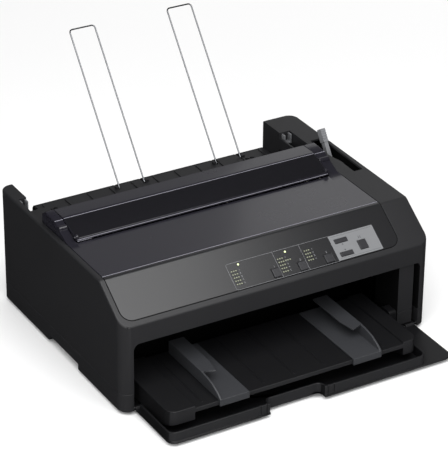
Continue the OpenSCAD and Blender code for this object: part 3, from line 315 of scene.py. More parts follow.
def round_edges(piece, radius, segments=3, where=None, sharpest=30):
    """Rounds a piece's sharp edges, or those whose middle passes a test in case millimetres."""
    bm = bmesh.new()
    bm.from_mesh(piece.data)
    clean(bm)
    chosen = []
    for edge in bm.edges:
        if len(edge.link_faces) != 2 or edge.calc_face_angle(0) < math.radians(sharpest):
            continue
        middle = ((edge.verts[0].co + edge.verts[1].co) / 2 - ORIGIN) / MM
        if where is None or where(middle):
            chosen.append(edge)
    sharp_form = BVHTree.FromBMesh(bm)
    bmesh.ops.bevel(bm, geom=chosen, offset=radius, segments=segments, profile=0.5, affect="EDGES",
                    clamp_overlap=False, miter_outer="ARC", offset_type="OFFSET")
    for vert in bm.verts:  # where two roundings meet in a narrow place, a corner can be thrown off the form
        place, _, _, distance = sharp_form.find_nearest(vert.co)
        if distance > 0.5 * radius:
            vert.co = place
    bm.to_mesh(piece.data)
    bm.free()
    return piece


def shade(piece, name, finish_name, body, *nodes, slot):
    """Names a finished piece, gives it its finish and lets it ride in place of its frame nodes."""
    piece.name = name
    piece.data.name = name
    piece.data.materials.clear()
    piece.data.materials.append(finish(finish_name))
    for polygon in piece.data.polygons:
        polygon.use_smooth = True
    weighted = piece.modifiers.new("Normals", "WEIGHTED_NORMAL")
    weighted.keep_sharp = True
    piece.data.set_sharp_from_angle(angle=math.radians(40))
    settle(piece)
    if nodes:
        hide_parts(*nodes)
    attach(piece, body)
    return piece


def second_finish(piece, finish_name, where):
    """Gives the faces that pass a test another finish."""
    piece.data.materials.append(finish(finish_name))
    for polygon in piece.data.polygons:
        if where(polygon):
            polygon.material_index = 1


def dress(node, finish_name):
    """Gives a frame node that keeps its own form its finish."""
    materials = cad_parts[node].data.materials
    materials.clear()
    materials.append(finish(finish_name))


def moulded(node, finish_name, body, radius, segments=3, *, slot, widths=(1, 1, 1)):
    """A frame node's own form with its edges rounded as a mould leaves them, narrowed about its middle if asked.

    The piece is named after its node: sheet_tray gives SheetTray.
    """
    name = "".join(word.capitalize() for word in node.split("_"))
    piece = new_object(name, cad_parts[node].data.copy())
    low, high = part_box(node)
    middle = Matrix.Translation((low + high) / 2)
    piece.data.transform(middle @ Matrix.Diagonal((*widths, 1)) @ middle.inverted())
    if radius:
        round_edges(piece, radius, segments)
    return shade(piece, name, finish_name, body, node, slot=slot)


# ---- finishes


MIX_A, MIX_B, MIX_OUT = 6, 7, 2  # sockets of a mix of two colours, which share their names with others


def feed(tree, node, inputs):
    """Fills a node's inputs, each with a value or from another node's socket."""
    for name, value in inputs.items():
        if isinstance(value, bpy.types.NodeSocket):
            tree.links.new(value, node.inputs[name])
        else:
            node.inputs[name].default_value = value


def add_node(tree, kind, inputs=None, **settings):
    """Adds a shader node with its settings and what feeds it."""
    node = tree.nodes.new(kind)
    for name, value in settings.items():
        setattr(node, name, value)
    feed(tree, node, inputs or {})
    return node


def new_material(name):
    """An empty node material with its surface shader and a pattern space in metres."""
    material = bpy.data.materials.new(name)
    material.use_nodes = True
    tree = material.node_tree
    surface = tree.nodes["Principled BSDF"]
    space = add_node(tree, "ShaderNodeTexCoord").outputs["Object"]
    return material, tree, surface, space


def per_mm(size):
    """Noise scale that gives features about this many millimetres wide."""
    return 1 / (size * MM)


def scaled(colour, factor):
    return (*[min(1, c * factor) for c in colour[:3]], 1)


TONE_DRIFT, GLOSS_DRIFT = 0.06, 0.03  # share by which tone and roughness drift over a moulding


def moulded_plastic(name, colour, roughness, grain=0.8, depth=0.02, specular=0.5, coat=0.0, coat_roughness=0.1):
    """Injection-moulded plastic: spark-eroded grain in the surface, and a slow drift of tone from the mould's flow."""
    _, tree, surface, space = new_material(name)
    flow = add_node(tree, "ShaderNodeTexNoise", {"Vector": space, "Scale": per_mm(90), "Detail": 2.0}).outputs["Fac"]
    tone = add_node(tree, "ShaderNodeMix", {"Factor": flow, MIX_A: scaled(colour, 1 - TONE_DRIFT),
                                            MIX_B: scaled(colour, 1 + TONE_DRIFT)}, data_type="RGBA")
    pits = add_node(tree, "ShaderNodeTexNoise", {"Vector": space, "Scale": per_mm(grain), "Detail": 3.0})
    relief = add_node(tree, "ShaderNodeBump", {"Height": pits.outputs["Fac"], "Distance": depth * MM, "Strength": 0.6})
    gloss = add_node(tree, "ShaderNodeMapRange", {"Value": flow, "To Min": roughness - GLOSS_DRIFT,
                                                  "To Max": roughness + GLOSS_DRIFT})
    feed(tree, surface, {
        "Base Color": tone.outputs[MIX_OUT], "Roughness": gloss.outputs["Result"], "Normal": relief.outputs["Normal"],
        "Specular IOR Level": specular, "IOR": 1.5, "Coat Weight": coat, "Coat Roughness": coat_roughness})


def speckled_plastic(name, colour, roughness, grain):
    """Smoked plastic with a coarse sparkle grain, as on the sloping face of the flap."""
    _, tree, surface, space = new_material(name)
    cells = add_node(tree, "ShaderNodeTexVoronoi", {"Vector": space, "Scale": per_mm(grain)})
    speck = add_node(tree, "ShaderNodeMapRange", {"Value": cells.outputs["Distance"], "From Max": 0.6,
                                                  "To Min": 1.5, "To Max": 0.7})
    toned = add_node(tree, "ShaderNodeVectorMath", {0: colour[:3], 1: speck.outputs["Result"]}, operation="MULTIPLY")
    relief = add_node(tree, "ShaderNodeBump", {"Height": cells.outputs["Distance"], "Distance": 0.06 * MM,
                                               "Strength": 0.5})
    feed(tree, surface, {"Base Color": toned.outputs["Vector"], "Normal": relief.outputs["Normal"],
                         "Roughness": roughness})


def drawn_metal(name, colour, roughness, along="X", streak=0.25):
    """Drawn or ground metal: fine scratches that run along the stock."""
    _, tree, surface, space = new_material(name)
    stretch = {"X": (0.03, 1, 1), "Y": (1, 0.03, 1), "Z": (1, 1, 0.03)}[along]
    turned = add_node(tree, "ShaderNodeMapping", {"Vector": space, "Scale": stretch}).outputs["Vector"]
    scratches = add_node(tree, "ShaderNodeTexNoise", {"Vector": turned, "Scale": per_mm(streak), "Detail": 4.0})
    lines = scratches.outputs["Fac"]
    gloss = add_node(tree, "ShaderNodeMapRange", {"Value": lines, "To Min": roughness * 0.7, "To Max": roughness * 1.3})
    relief = add_node(tree, "ShaderNodeBump", {"Height": lines, "Distance": 0.004 * MM, "Strength": 0.5})
    tone = add_node(tree, "ShaderNodeMix", {"Factor": lines, MIX_A: scaled(colour, 0.88), MIX_B: scaled(colour, 1.08)},
                    data_type="RGBA")
    feed(tree, surface, {"Base Color": tone.outputs[MIX_OUT], "Roughness": gloss.outputs["Result"],
                         "Normal": relief.outputs["Normal"], "Metallic": 1})


def glowing_lens(name, colour, roughness, strength):
    """Moulded lamp lens with light behind it, brighter where the diode sits."""
    _, tree, surface, space = new_material(name)
    spot = add_node(tree, "ShaderNodeTexNoise", {"Vector": space, "Scale": per_mm(2)}).outputs["Fac"]
    tone = add_node(tree, "ShaderNodeMix", {"Factor": spot, MIX_A: scaled(colour, 0.85), MIX_B: scaled(colour, 1.1)},
                    data_type="RGBA")
    feed(tree, surface, {"Base Color": tone.outputs[MIX_OUT], "Emission Color": tone.outputs[MIX_OUT],
                         "Emission Strength": strength, "Roughness": roughness})


def circuit_laminate(name, colour, roughness):
    """Glass-epoxy board: green solder resist over a faint weave."""
    _, tree, surface, space = new_material(name)
    weave = add_node(tree, "ShaderNodeTexBrick", {
        "Vector": space, "Scale": per_mm(3), "Color1": colour, "Color2": linear_colour("236642"),
        "Mortar": linear_colour("154A2C")})
    feed(tree, surface, {"Base Color": weave.outputs["Color"], "Roughness": roughness})


RUBBER = {"depth": 0.04, "specular": 0.3}
# How each finish is made: the maker, a colour setting or a hex value, a factor on that colour, the roughness, and what
# differs from the maker's usual values, with grain and streak as sizes in millimetres.
FINISHES = {
    # ABS from a spark-eroded mould: dull, with soft wide highlights
    "moulded_abs_case": (moulded_plastic, "case", 1, 0.45, {}),
    # the same ABS from a finer mould: a broad satin highlight on the slope
    "satin_abs_panel": (moulded_plastic, "panel", 1, 0.32,
                        {"grain": 0.7, "depth": 0.01, "coat": 0.5, "coat_roughness": 0.3}),
    # ABS with a deeper grain, painted nearly black: painted shade that stands in for the printer's shade on the tray,
    # the front cover and the hinge post, so hardly a highlight
    "moulded_abs_tray": (moulded_plastic, "tray", 1, 0.45, {"depth": 0.03, "specular": 0.4}),
    # smooth tinted sheet: a clear sheen over a violet-grey cast
    "smoked_polycarbonate": (moulded_plastic, "cover", 1, 0.28,
                             {"grain": 2.5, "depth": 0.0004, "coat": 0.6, "coat_roughness": 0.12}),
    # the same sheet with a sparkle texture: darker, and broken up into grains
    "speckled_polycarbonate": (speckled_plastic, "cover", 0.5, 0.35, {"grain": 0.9}),
    # painted highlight: pale glossy bars along the edges of the smoked sheet stand in for the thin bright line of light
    # on each edge
    "polished_polycarbonate_edge": (moulded_plastic, "8F8E98", 1, 0.2, {"grain": 1.5, "depth": 0.004}),
    # inside of the case: painted shade, a flat near-black that stands in for the shade where hardly any light gets
    "unlit_abs_inside": (moulded_plastic, "0C0C0D", 1, 0.7, {"depth": 0.03, "specular": 0.15}),
    # lighter ABS: grey fins that stand out from the tray
    "satin_abs_guide": (moulded_plastic, "guide", 1, 0.42, {"depth": 0.015}),
    # pale ABS: the lever is the lightest thing on the deck
    "satin_abs_lever": (moulded_plastic, "lever", 1, 0.45, {"depth": 0.015}),
    # the lever's pale ABS painted darker, as painted shade in the corner of the block: small clips that show only just
    # against it
    "satin_abs_clip": (moulded_plastic, "lever", 0.7, 0.5, {"depth": 0.015}),
    # fine-grained key caps: a small soft glint along each edge
    "satin_abs_key": (moulded_plastic, "2C2C2F", 1, 0.4, {"grain": 0.6, "depth": 0.01}),
    # silver-grey ink under a clear film: an even pale sheen
    "printed_silver_film": (moulded_plastic, "label", 1, 0.35, {"grain": 0.4, "depth": 0.005}),
    # thin pale ink: flat lines and figures without a highlight of their own
    "printed_ink": (moulded_plastic, "ink", 1, 0.5, {"grain": 0.5, "depth": 0.004}),
    # dark ink on the silver film: marks a little darker than their ground
    "printed_dark_ink": (moulded_plastic, "4A4B4E", 1, 0.5, {"grain": 0.5, "depth": 0.004}),
    # black ink round the lamps: a dark window that the lenses stand out from
    "printed_black_ink": (moulded_plastic, "1B1B1D", 1, 0.4, {"grain": 0.5, "depth": 0.004}),
    # clear moulded lens with no light behind it: pale dots with a glint
    "unlit_lens": (moulded_plastic, "777A68", 1, 0.25, {"grain": 1.0, "depth": 0.004}),
    # the same lens with a green diode behind it: a small yellow-green glow
    "lit_green_lens": (glowing_lens, "DDEBA8", 1, 0.2, {"strength": 1.1}),
    # drawn and plated wire: a bright line that runs along it
    "bright_nickel_wire": (drawn_metal, "A2A4A8", 1, 0.25, {"along": "Z"}),
    # ground bar: long streaks and a sharp highlight
    "ground_steel_shaft": (drawn_metal, "B5B7BA", 1, 0.25, {}),
    # rolled and zinc plated sheet: a softer and patchier grey
    "zinc_plated_sheet": (drawn_metal, "9B9DA0", 1, 0.38, {"streak": 1.5}),
    # the same sheet painted near-black: painted shade that keeps the inside of the mouth dark, with a faint sheen
    "black_passivated_sheet": (drawn_metal, "1C1D1F", 1, 0.5, {"streak": 1.5}),
    # cut brass: a warm yellow glint on the teeth
    "cut_brass": (drawn_metal, "B99A5A", 1, 0.3, {}),
    # stoved paint on a steel can: black with an even gloss
    "painted_motor_can": (moulded_plastic, "1E1E20", 1, 0.35, {"grain": 0.6, "coat": 0.3}),
    # undyed nylon: creamy white gears with a waxy highlight
    "natural_nylon": (moulded_plastic, "D2CFC2", 1, 0.45, {"depth": 0.01}),
    # nylon dyed black: dull, a little softer than the case
    "moulded_black_nylon": (moulded_plastic, "161618", 1, 0.5, {"specular": 0.4}),
    # ground roller rubber: matt black with a fine nap
    "ground_platen_rubber": (moulded_plastic, "161617", 1, 0.75, {"grain": 0.5, **RUBBER}),
    # moulded feet: matt and slightly coarser
    "moulded_foot_rubber": (moulded_plastic, "18181A", 1, 0.75, RUBBER),
    # moulded belt: matt black
    "belt_rubber": (moulded_plastic, "141415", 1, 0.75, {"grain": 0.6, **RUBBER}),
    # woven nylon soaked in ink: takes up all light, with a fine weave
    "inked_ribbon_cloth": (moulded_plastic, "0C0C0E", 1, 0.75, {"grain": 0.3, **RUBBER}),
    # green resist over glass-epoxy: a dim green sheen inside the mouth
    "solder_resist_board": (circuit_laminate, "1E5A38", 1, 0.4, {}),
}


def finish(name):
    """A finish's material, made when the first piece asks for it."""
    if name not in bpy.data.materials:
        make, colour, factor, roughness, details = FINISHES[name]
        setting = getattr(bpy.context.scene.printer_finish, colour, None)
        colour = (*setting, 1) if setting else linear_colour(colour)
        make(name, scaled(colour, factor) if factor != 1 else colour, roughness, **details)
    return bpy.data.materials[name]


NODE_FINISHES = {
    "zinc_plated_sheet": ("interface_ports",),
    "black_passivated_sheet": ("power_supply", "side_frame_left", "side_frame_right", "carriage_rail", "paper_pan"),
    "ground_steel_shaft": ("carriage_shaft", "tractor_rod", "case_screws", "platen_shaft", "tractor_shaft",
                           "cover_hinge_pins"),
    "moulded_black_nylon": ("ribbon_cartridge", "tractor_left", "tractor_right", "carriage", "switch_body",
                            "power_inlet", "power_switch"),
    "painted_motor_can": ("carriage_motor", "feed_motor", "print_head"),
    "natural_nylon": ("platen_gear", "idler_gear", "sprocket_left", "sprocket_right", "drive_pulley", "idler_pulley"),
    "cut_brass": ("motor_pinion",),
    "ground_platen_rubber": ("platen_roller",),
    "moulded_foot_rubber": ("rubber_feet",),
    "belt_rubber": ("timing_belt",),
    "solder_resist_board": ("main_board", "panel_board"),
    "inked_ribbon_cloth": ("ink_ribbon",),
    "satin_abs_lever": ("thickness_lever", "ribbon_knob"),
}

# ---- case


def side_profile(inset, low, bend, roll):
    """The case from the side, with both bends of the slope rounded."""
    tilt = math.tan(SLOPE)
    shift = inset / math.cos(SLOPE)
    return filleted([
        (CASE_F + inset, low, 0),
        (CASE_F + inset, FRONT_TOP + inset * tilt - shift, bend),
        (CASE_F + (DECK - inset - FRONT_TOP + shift) / tilt, DECK - inset, roll),
        (CASE_B - inset, DECK - inset, 0),
        (CASE_B - inset, low, 0),
    ])


def case_form(inset, low, high, shape):
    radius = shape.corner / MM - inset
    side = prism(side_profile(inset, low, shape.bend / MM, shape.roll / MM), CASE_L + inset, CASE_R - inset, "X")
    corners = rectangle(CASE_L + inset, CASE_R - inset, CASE_F + inset, CASE_B - inset)
    plan = filleted([(x, y, radius) for x, y in corners], steps=8)
    return combine(side, [prism(plan, low - 1, high + 1)], "INTERSECT")


def panel_outline(grow):
    """The panel's plan on the slope, open at its top end, with two rounded lower corners."""
    x0, x1, s0, radius = BAY_L - grow, BAY_R + grow, PANEL_LOW - grow, 14 + grow
    beyond = SLOPE_LENGTH + 20
    return filleted([(x0, s0, radius), (x1, s0, radius), (x1, beyond, 0), (x0, beyond, 0)], steps=8)


def slope_point(s, depth):
    """(y, z) of a point on the slope, s up it and sunk by a depth."""
    run, rise = math.cos(SLOPE), math.sin(SLOPE)
    return (CASE_F + s * run + depth * rise, FRONT_TOP + s * rise - depth * run)


def panel_sheet(grow, proud, depth, back, roll):
    """A sheet that follows the slope and rolls over its top edge, cut to the panel's plan."""
    corner = math.tan(SLOPE / 2)
    outside = (SLOPE_TOP - proud * corner, DECK + proud)
    inside = (SLOPE_TOP + depth * corner, DECK - depth)
    section = filleted([
        (*slope_point(2, -proud), 0), (*outside, max(0, roll + proud)), (back, DECK + proud, 0),
        (back, DECK - depth, 0), (*inside, max(0, roll - depth)), (*slope_point(2, depth), 0),
    ])
    sheet = prism(section, BAY_L - grow, BAY_R + grow, "X")
    return combine(sheet, [slope_prism(panel_outline(grow), -30, 30)], "INTERSECT")


# Boxes of painted shade: inner faces of the case in them (the lever slot, the mouth and the groove beside its pillar),
# where hardly any light reaches, get a near-black finish
PAINTED_SHADE_BOXES = (((CASE_R - 26, CASE_R - 2.5), (-45, 70), (SEAM, DECK - 2.5)),
          ((MOUTH_L - 3, PILLAR_X + 3), (PILLAR_Y + 0.5, 60), (UNDER + 2.8, MOUTH_TOP + 3)),
          ((GROOVE_X - 0.5, MOUTH_R + 3), (CASE_F + 3.2, 0), (UNDER + 2.8, MOUTH_TOP + 3)))


def is_inside(polygon):
    place = (polygon.center - ORIGIN) / MM
    return any(all(low < p < high for p, (low, high) in zip(place, space)) for space in PAINTED_SHADE_BOXES)


def lever_slot_outline():
    left, right = CASE_R - 19, CASE_R - 5
    arc = [(left - 21 + 22 * math.cos(a), -10 + 22 * math.sin(a))
           for a in [math.radians(-90 + 150 * i / 12) for i in range(13)]]
    swell = [p for p in arc if p[0] > left]
    return [(left, -37), (right - 2, -37), (right, 58), (left - 3, 58), (left - 3, 12)] + swell[::-1]


class PRINTER_OT_upper_case(bpy.types.Operator):
    """Upper case: shell with rounded bends, cover bay, rear blocks and front opening"""

    bl_idname = "printer.upper_case"
    bl_label = "Upper case"

    def execute(self, context):
        shape = context.scene.printer_shape
        case = case_form(0, SEAM, DECK, shape)
        round_edges(case, shape.rim, 4, lambda p: p.z >= FRONT_TOP - 8)
        combine(case, [case_form(WALL, SEAM - 1, DECK, shape)], "DIFFERENCE")
        step_f = BAY_STEP_Y - RIB
        skirt, shelf = (DECK - 25, DECK - 1), (DECK - 22, DECK - 19.5)
        walls = [
            # round the mouth, and the pillar at its right
            block(MOUTH_L, MOUTH_R, CASE_F + 1, CASE_F + 12, MOUTH_TOP, MOUTH_LIP),
            block(MOUTH_L - RIB, MOUTH_L, CASE_F + 1, CASE_F + 42, SEAM, MOUTH_LIP),
            block(MOUTH_R, MOUTH_R + RIB, CASE_F + 1, CASE_F + 24, SEAM, MOUTH_LIP),
            block(PILLAR_X, GROOVE_X, PILLAR_Y, PILLAR_Y + RIB, SEAM, MOUTH_LIP),
            block(PILLAR_X, PILLAR_X + RIB, PILLAR_Y, CASE_F + 52, SEAM, MOUTH_LIP),
            # skirt along the right deck
            block(BAY_R, BAY_R + RIB, COVER_F, BAY_STEP_Y, *skirt),
            block(BAY_R, BAY_STEP_R + RIB, step_f, BAY_STEP_Y, *skirt),
            block(BAY_STEP_R, BAY_STEP_R + RIB, step_f, BLOCK_F + 1, *skirt),
            # fronts of the rear blocks
            block(CASE_L + 1, BLOCK_L, BLOCK_F, BLOCK_F + RIB, BLOCK_LOW, DECK - 1),
            block(BLOCK_R, CASE_R - 1, BLOCK_F, BLOCK_F + RIB, BLOCK_LOW, DECK - 1),
            block(BLOCK_R, BLOCK_R + RIB, step_f, BLOCK_F + 1, DECK - 22, DECK - 7),
            # shelves beside the rear guide, and the bearings of guide and cover
            block(CASE_L + 1, GUIDE_PLATE_L - PLAY, REAR_AXIS_Y - 8, BLOCK_F, *shelf),
            block(GUIDE_PLATE_R + PLAY, BAY_R + 2, REAR_AXIS_Y - 8, BLOCK_F, *shelf),
            block(BAY_R, BAY_STEP_R + 1, step_f, BLOCK_F, *shelf),
            *(block(x0, x1, REAR_AXIS_Y - 8, REAR_AXIS_Y + 8, REAR_AXIS_Z - 7, DECK - 20)
              for x0, x1 in ((GUIDE_PLATE_L - 3.5, GUIDE_PLATE_L - PLAY), (GUIDE_PLATE_R + PLAY, GUIDE_PLATE_R + 3.5))),
            block(CASE_L + 1, BAY_L - PLAY, COVER_AXIS_Y - 8, COVER_AXIS_Y + 8, COVER_AXIS_Z - 7, DECK - 1),
        ]
        for x in (BLOCK_L - RIB, BLOCK_R):
            walls.append(block(x, x + RIB, BLOCK_F, CASE_B - 1, BLOCK_LOW, DECK - 1))
            walls.append(block(x, x + RIB, BLOCK_BACK, CASE_B - 1, REAR_WALL, BLOCK_LOW + 1))
        combine(case, walls, "UNION")
        mouth = filleted([(MOUTH_L, SEAM - 2, 0), (MOUTH_R, SEAM - 2, 0),
                          (MOUTH_R, MOUTH_TOP, 5), (MOUTH_L, MOUTH_TOP, 8)])
        through = (DECK - WALL - 1, DECK + 1)
        cuts = [
            block(BAY_L, BAY_R, COVER_F, BLOCK_F, *through),
            block(BAY_R - 1, BAY_STEP_R, BAY_STEP_Y, BLOCK_F, *through),
            block(BLOCK_L, BLOCK_R, BLOCK_F - 1, CASE_B + 1, *through),
            block(BLOCK_L, BLOCK_R, CASE_B - WALL - 1, CASE_B + 1, REAR_WALL, DECK + 1),
            panel_sheet(0, 3, PANEL_DEPTH, COVER_F + 1, 0),
            slope_prism(panel_outline(-1.5), -WALL - 3, 3),
            block(BAY_L + RIB, BAY_R - RIB, SLOPE_TOP - 2, COVER_F + 1, DECK - WALL - 1, DECK),
            prism(mouth, CASE_F - 1, CASE_F + WALL + 0.5, "Y"),
            prism(lever_slot_outline(), *through),
            rod(PLATEN_Y, PLATEN_Z, 5, CASE_R - WALL - 1, CASE_R + 1),
            rod(COVER_AXIS_Y, COVER_AXIS_Z, PIN_BORE, CASE_L + 1, BAY_L + 1),
            rod(COVER_AXIS_Y, COVER_AXIS_Z, PIN_BORE, BAY_R - 1, BAY_R + 3.5),
            rod(REAR_AXIS_Y, REAR_AXIS_Z, PIN_BORE, GUIDE_PLATE_L - 4, GUIDE_PLATE_L + 1),
            rod(REAR_AXIS_Y, REAR_AXIS_Z, PIN_BORE, GUIDE_PLATE_R - 1, GUIDE_PLATE_R + 4),
        ]
        combine(case, cuts, "DIFFERENCE")
        round_edges(case, shape.crease, 2)
        shade(case, "UpperCase", "moulded_abs_case", "root", "upper_case", slot="case_dark")
        # painted shade: inner faces in the lever slot, the mouth and the groove get the near-black finish
        second_finish(case, "unlit_abs_inside", is_inside)
        return {"FINISHED"}


class PRINTER_OT_lower_case(bpy.types.Operator):
    """Lower case tray with its raised side recesses, a near-black sheet of painted shade over its vents, and the rubber
    feet
    """

    bl_idname = "printer.lower_case"
    bl_label = "Lower case"

    def execute(self, context):
        shape = context.scene.printer_shape
        lower = moulded("lower_case", "moulded_abs_case", "root", 0.8 * shape.soft_edge, slot="case_base")
        # painted shade: inner faces of the lower case within the same boxes get the near-black finish
        second_finish(lower, "unlit_abs_inside", is_inside)
        y0, y1, z0, z1 = PILLAR_Y + 1.5, PILLAR_Y + 22, UNDER + 3, SEAM + 3
        side = filleted([(y0, z0, 0), (y1, z0, 0), (y1, z1, 6), (y0, z1, 4)])
        post = prism(side, PILLAR_X - 10, PILLAR_X - 0.2, "X")
        slots = [block(PILLAR_X - 8.4, PILLAR_X - 2, PILLAR_Y, PILLAR_Y + 5, z, z + 1.6)
                 for z in (UNDER + 9, UNDER + 15)]
        combine(post, slots, "DIFFERENCE")
        round_edges(post, 0.5 * MM, 2)
        # the post takes the tray's finish of painted shade
        shade(post, "HingePost", "moulded_abs_tray", "root", slot="case_base")
        # painted shade: a near-black sheet laid just over the vents in the floor, in the finish of the inside
        vent_shade = block(-64, 40, -64, -6, UNDER + 3.2, UNDER + 3.6)
        shade(vent_shade, "VentShade", "unlit_abs_inside", "root", slot="case_base")
        moulded("rubber_feet", "moulded_foot_rubber", "root", 0.5 * MM, slot="foot_rubber")
        return {"FINISHED"}


# ---- control panel


def key_windows(keys, low, high):
    """Cutters for the holes that the keys stand in."""
    cutters = []
    for x, s, w, h in keys:
        half_w, half_h = w / 2 + PRESS_PLAY, h / 2 + PRESS_PLAY
        cutters.append(slope_prism(rectangle(x - half_w, x + half_w, s - half_h, s + half_h), low, high))
    return cutters


class PRINTER_OT_control_panel(bpy.types.Operator):
    """Control panel that rolls over the top of the slope, with windows for its keys"""

    bl_idname = "printer.control_panel"
    bl_label = "Control panel"

    def execute(self, context):
        roll = context.scene.printer_shape.roll / MM
        panel = panel_sheet(-0.8, 0, PANEL_DEPTH - 0.05, COVER_F - 0.4, roll)
        combine(panel, key_windows(SQUARE_KEYS + LABEL_KEYS, -5, 3), "DIFFERENCE")
        round_edges(panel, 0.45 * MM, 3)
        shade(panel, "ControlPanel", "satin_abs_panel", "root", "control_panel", slot="panel_dark")
        # painted shade: a near-black filler just under the surface darkens the gap round the panel
        gap = panel_sheet(-0.04, -0.3, PANEL_DEPTH - 0.1, COVER_F - 0.4, roll)
        combine(gap, [panel_sheet(-0.86, 1, PANEL_DEPTH + 1, COVER_F + 2, roll)], "DIFFERENCE")
        shade(gap, "PanelGapShade", "unlit_abs_inside", "root", slot="panel_dark")
        # painted shade: a near-black filler darkens the gap beside the cover
        side_gap = block(BAY_R - 0.36, BAY_R + 0.3, COVER_F + 1, COVER_AXIS_Y - 5, DECK - 4, DECK - 0.25)
        shade(side_gap, "CoverGap", "unlit_abs_inside", "root", slot="panel_dark")
        return {"FINISHED"}


class PRINTER_OT_keys(bpy.types.Operator):
    """Six keys with softly rounded caps"""

    bl_idname = "printer.keys"
    bl_label = "Keys"

    def execute(self, context):
        for node in ("mode_button_1", "mode_button_2", "mode_button_3", "feed_button_1", "feed_button_2",
                     "pause_button"):
            moulded(node, "satin_abs_key", node, 0.7 * MM, slot="key_dark")
        return {"FINISHED"}


def spaced(middle, count, pitch):
    """Places of a row that stands evenly about its middle."""
    return [middle + (i - (count - 1) / 2) * pitch for i in range(count)]


def lamp_places():
    for x, s, columns, rows in LAMP_BLOCKS:
        for lamp_x in spaced(x, columns, LAMP_PITCH[0]):
            for lamp_s in spaced(s, rows, LAMP_PITCH[1]):
                yield lamp_x, lamp_s


def lamp_rows():
    """Middle and half width of the dark window round each row of lamps."""
    for x, s, columns, rows in LAMP_BLOCKS:
        for row_s in spaced(s, rows, LAMP_PITCH[1]):
            yield x, row_s, columns * LAMP_PITCH[0] / 2 + 0.1


def gather(name, meshes):
    """One piece from several bmeshes that are already in case millimetres."""
    whole = bmesh.new()
    for bm in meshes:
        part = bpy.data.meshes.new("part")
        bm.to_mesh(part)
        bm.free()
        whole.from_mesh(part)
        bpy.data.meshes.remove(part)
    return new_piece(name, whole)


class PRINTER_OT_lamps(bpy.types.Operator):
    """Blocks of small lamp lenses and the two lit lamps"""

    bl_idname = "printer.lamps"
    bl_label = "Lamps"

    def execute(self, context):
        lenses = gather("Lenses", [slope_mesh(rectangle(x - 0.95, x + 0.95, s - 0.9, s + 0.9), -1.2, 0.1)
                                   for x, s in lamp_places()])
        round_edges(lenses, 0.2 * MM, 2)
        shade(lenses, "LampLenses", "unlit_lens", "root", "indicator_leds", slot="lamp_lens")
        lit = gather("Lit", [slope_mesh(ring(x, s, 1.15, 24), -1.2, 0.3) for x, s in LIT_LAMPS])
        round_edges(lit, 0.35 * MM, 3)
        shade(lit, "LitLamps", "lit_green_lens", "root", slot="lamp_lens")
        return {"FINISHED"}


INK = (-0.1, 0.06)  # from under the surface to the top of the ink


def ink_line(points, width, closed=False):
    """A printed line of even width through points on the slope."""
    strokes = []
    ends = points[1:] + points[:1] if closed else points[1:]
    for (x0, s0), (x1, s1) in zip(points, ends):
        along = Vector((x1 - x0, s1 - s0)).normalized() * width / 2
        side = Vector((-along.y, along.x))
        a, b = Vector((x0, s0)) - along * 0.2, Vector((x1, s1)) + along * 0.2
        strokes.append(slope_mesh([a - side, b - side, b + side, a + side], *INK))
    return strokes


# Seven strokes of a plain figure, as (start, end) on a grid one wide and two high
STROKES = {"top": ((0, 2), (1, 2)), "tl": ((0, 1), (0, 2)), "tr": ((1, 1), (1, 2)), "mid": ((0, 1), (1, 1)),
           "bl": ((0, 0), (0, 1)), "br": ((1, 0), (1, 1)), "low": ((0, 0), (1, 0))}
FIGURES = {"0": "top tl tr bl br low", "1": "tr br", "2": "top tr mid bl low", "3": "top tr mid br low",
           "4": "tl tr mid br", "5": "top tl mid br low"}


def figure(symbol, x, s, height, width):
    strokes = []
    for key in FIGURES[symbol].split():
        (u0, v0), (u1, v1) = STROKES[key]
        cell = height / 2
        strokes += ink_line([(x + u0 * cell, s + v0 * cell), (x + u1 * cell, s + v1 * cell)], width)
    return strokes


def triangle(x, s, size, up):
    sign = 1 if up else -1
    foot = s - sign * size * 0.6
    return slope_mesh([(x - size, foot), (x + size, foot), (x, s + sign * size)][::sign], *INK)


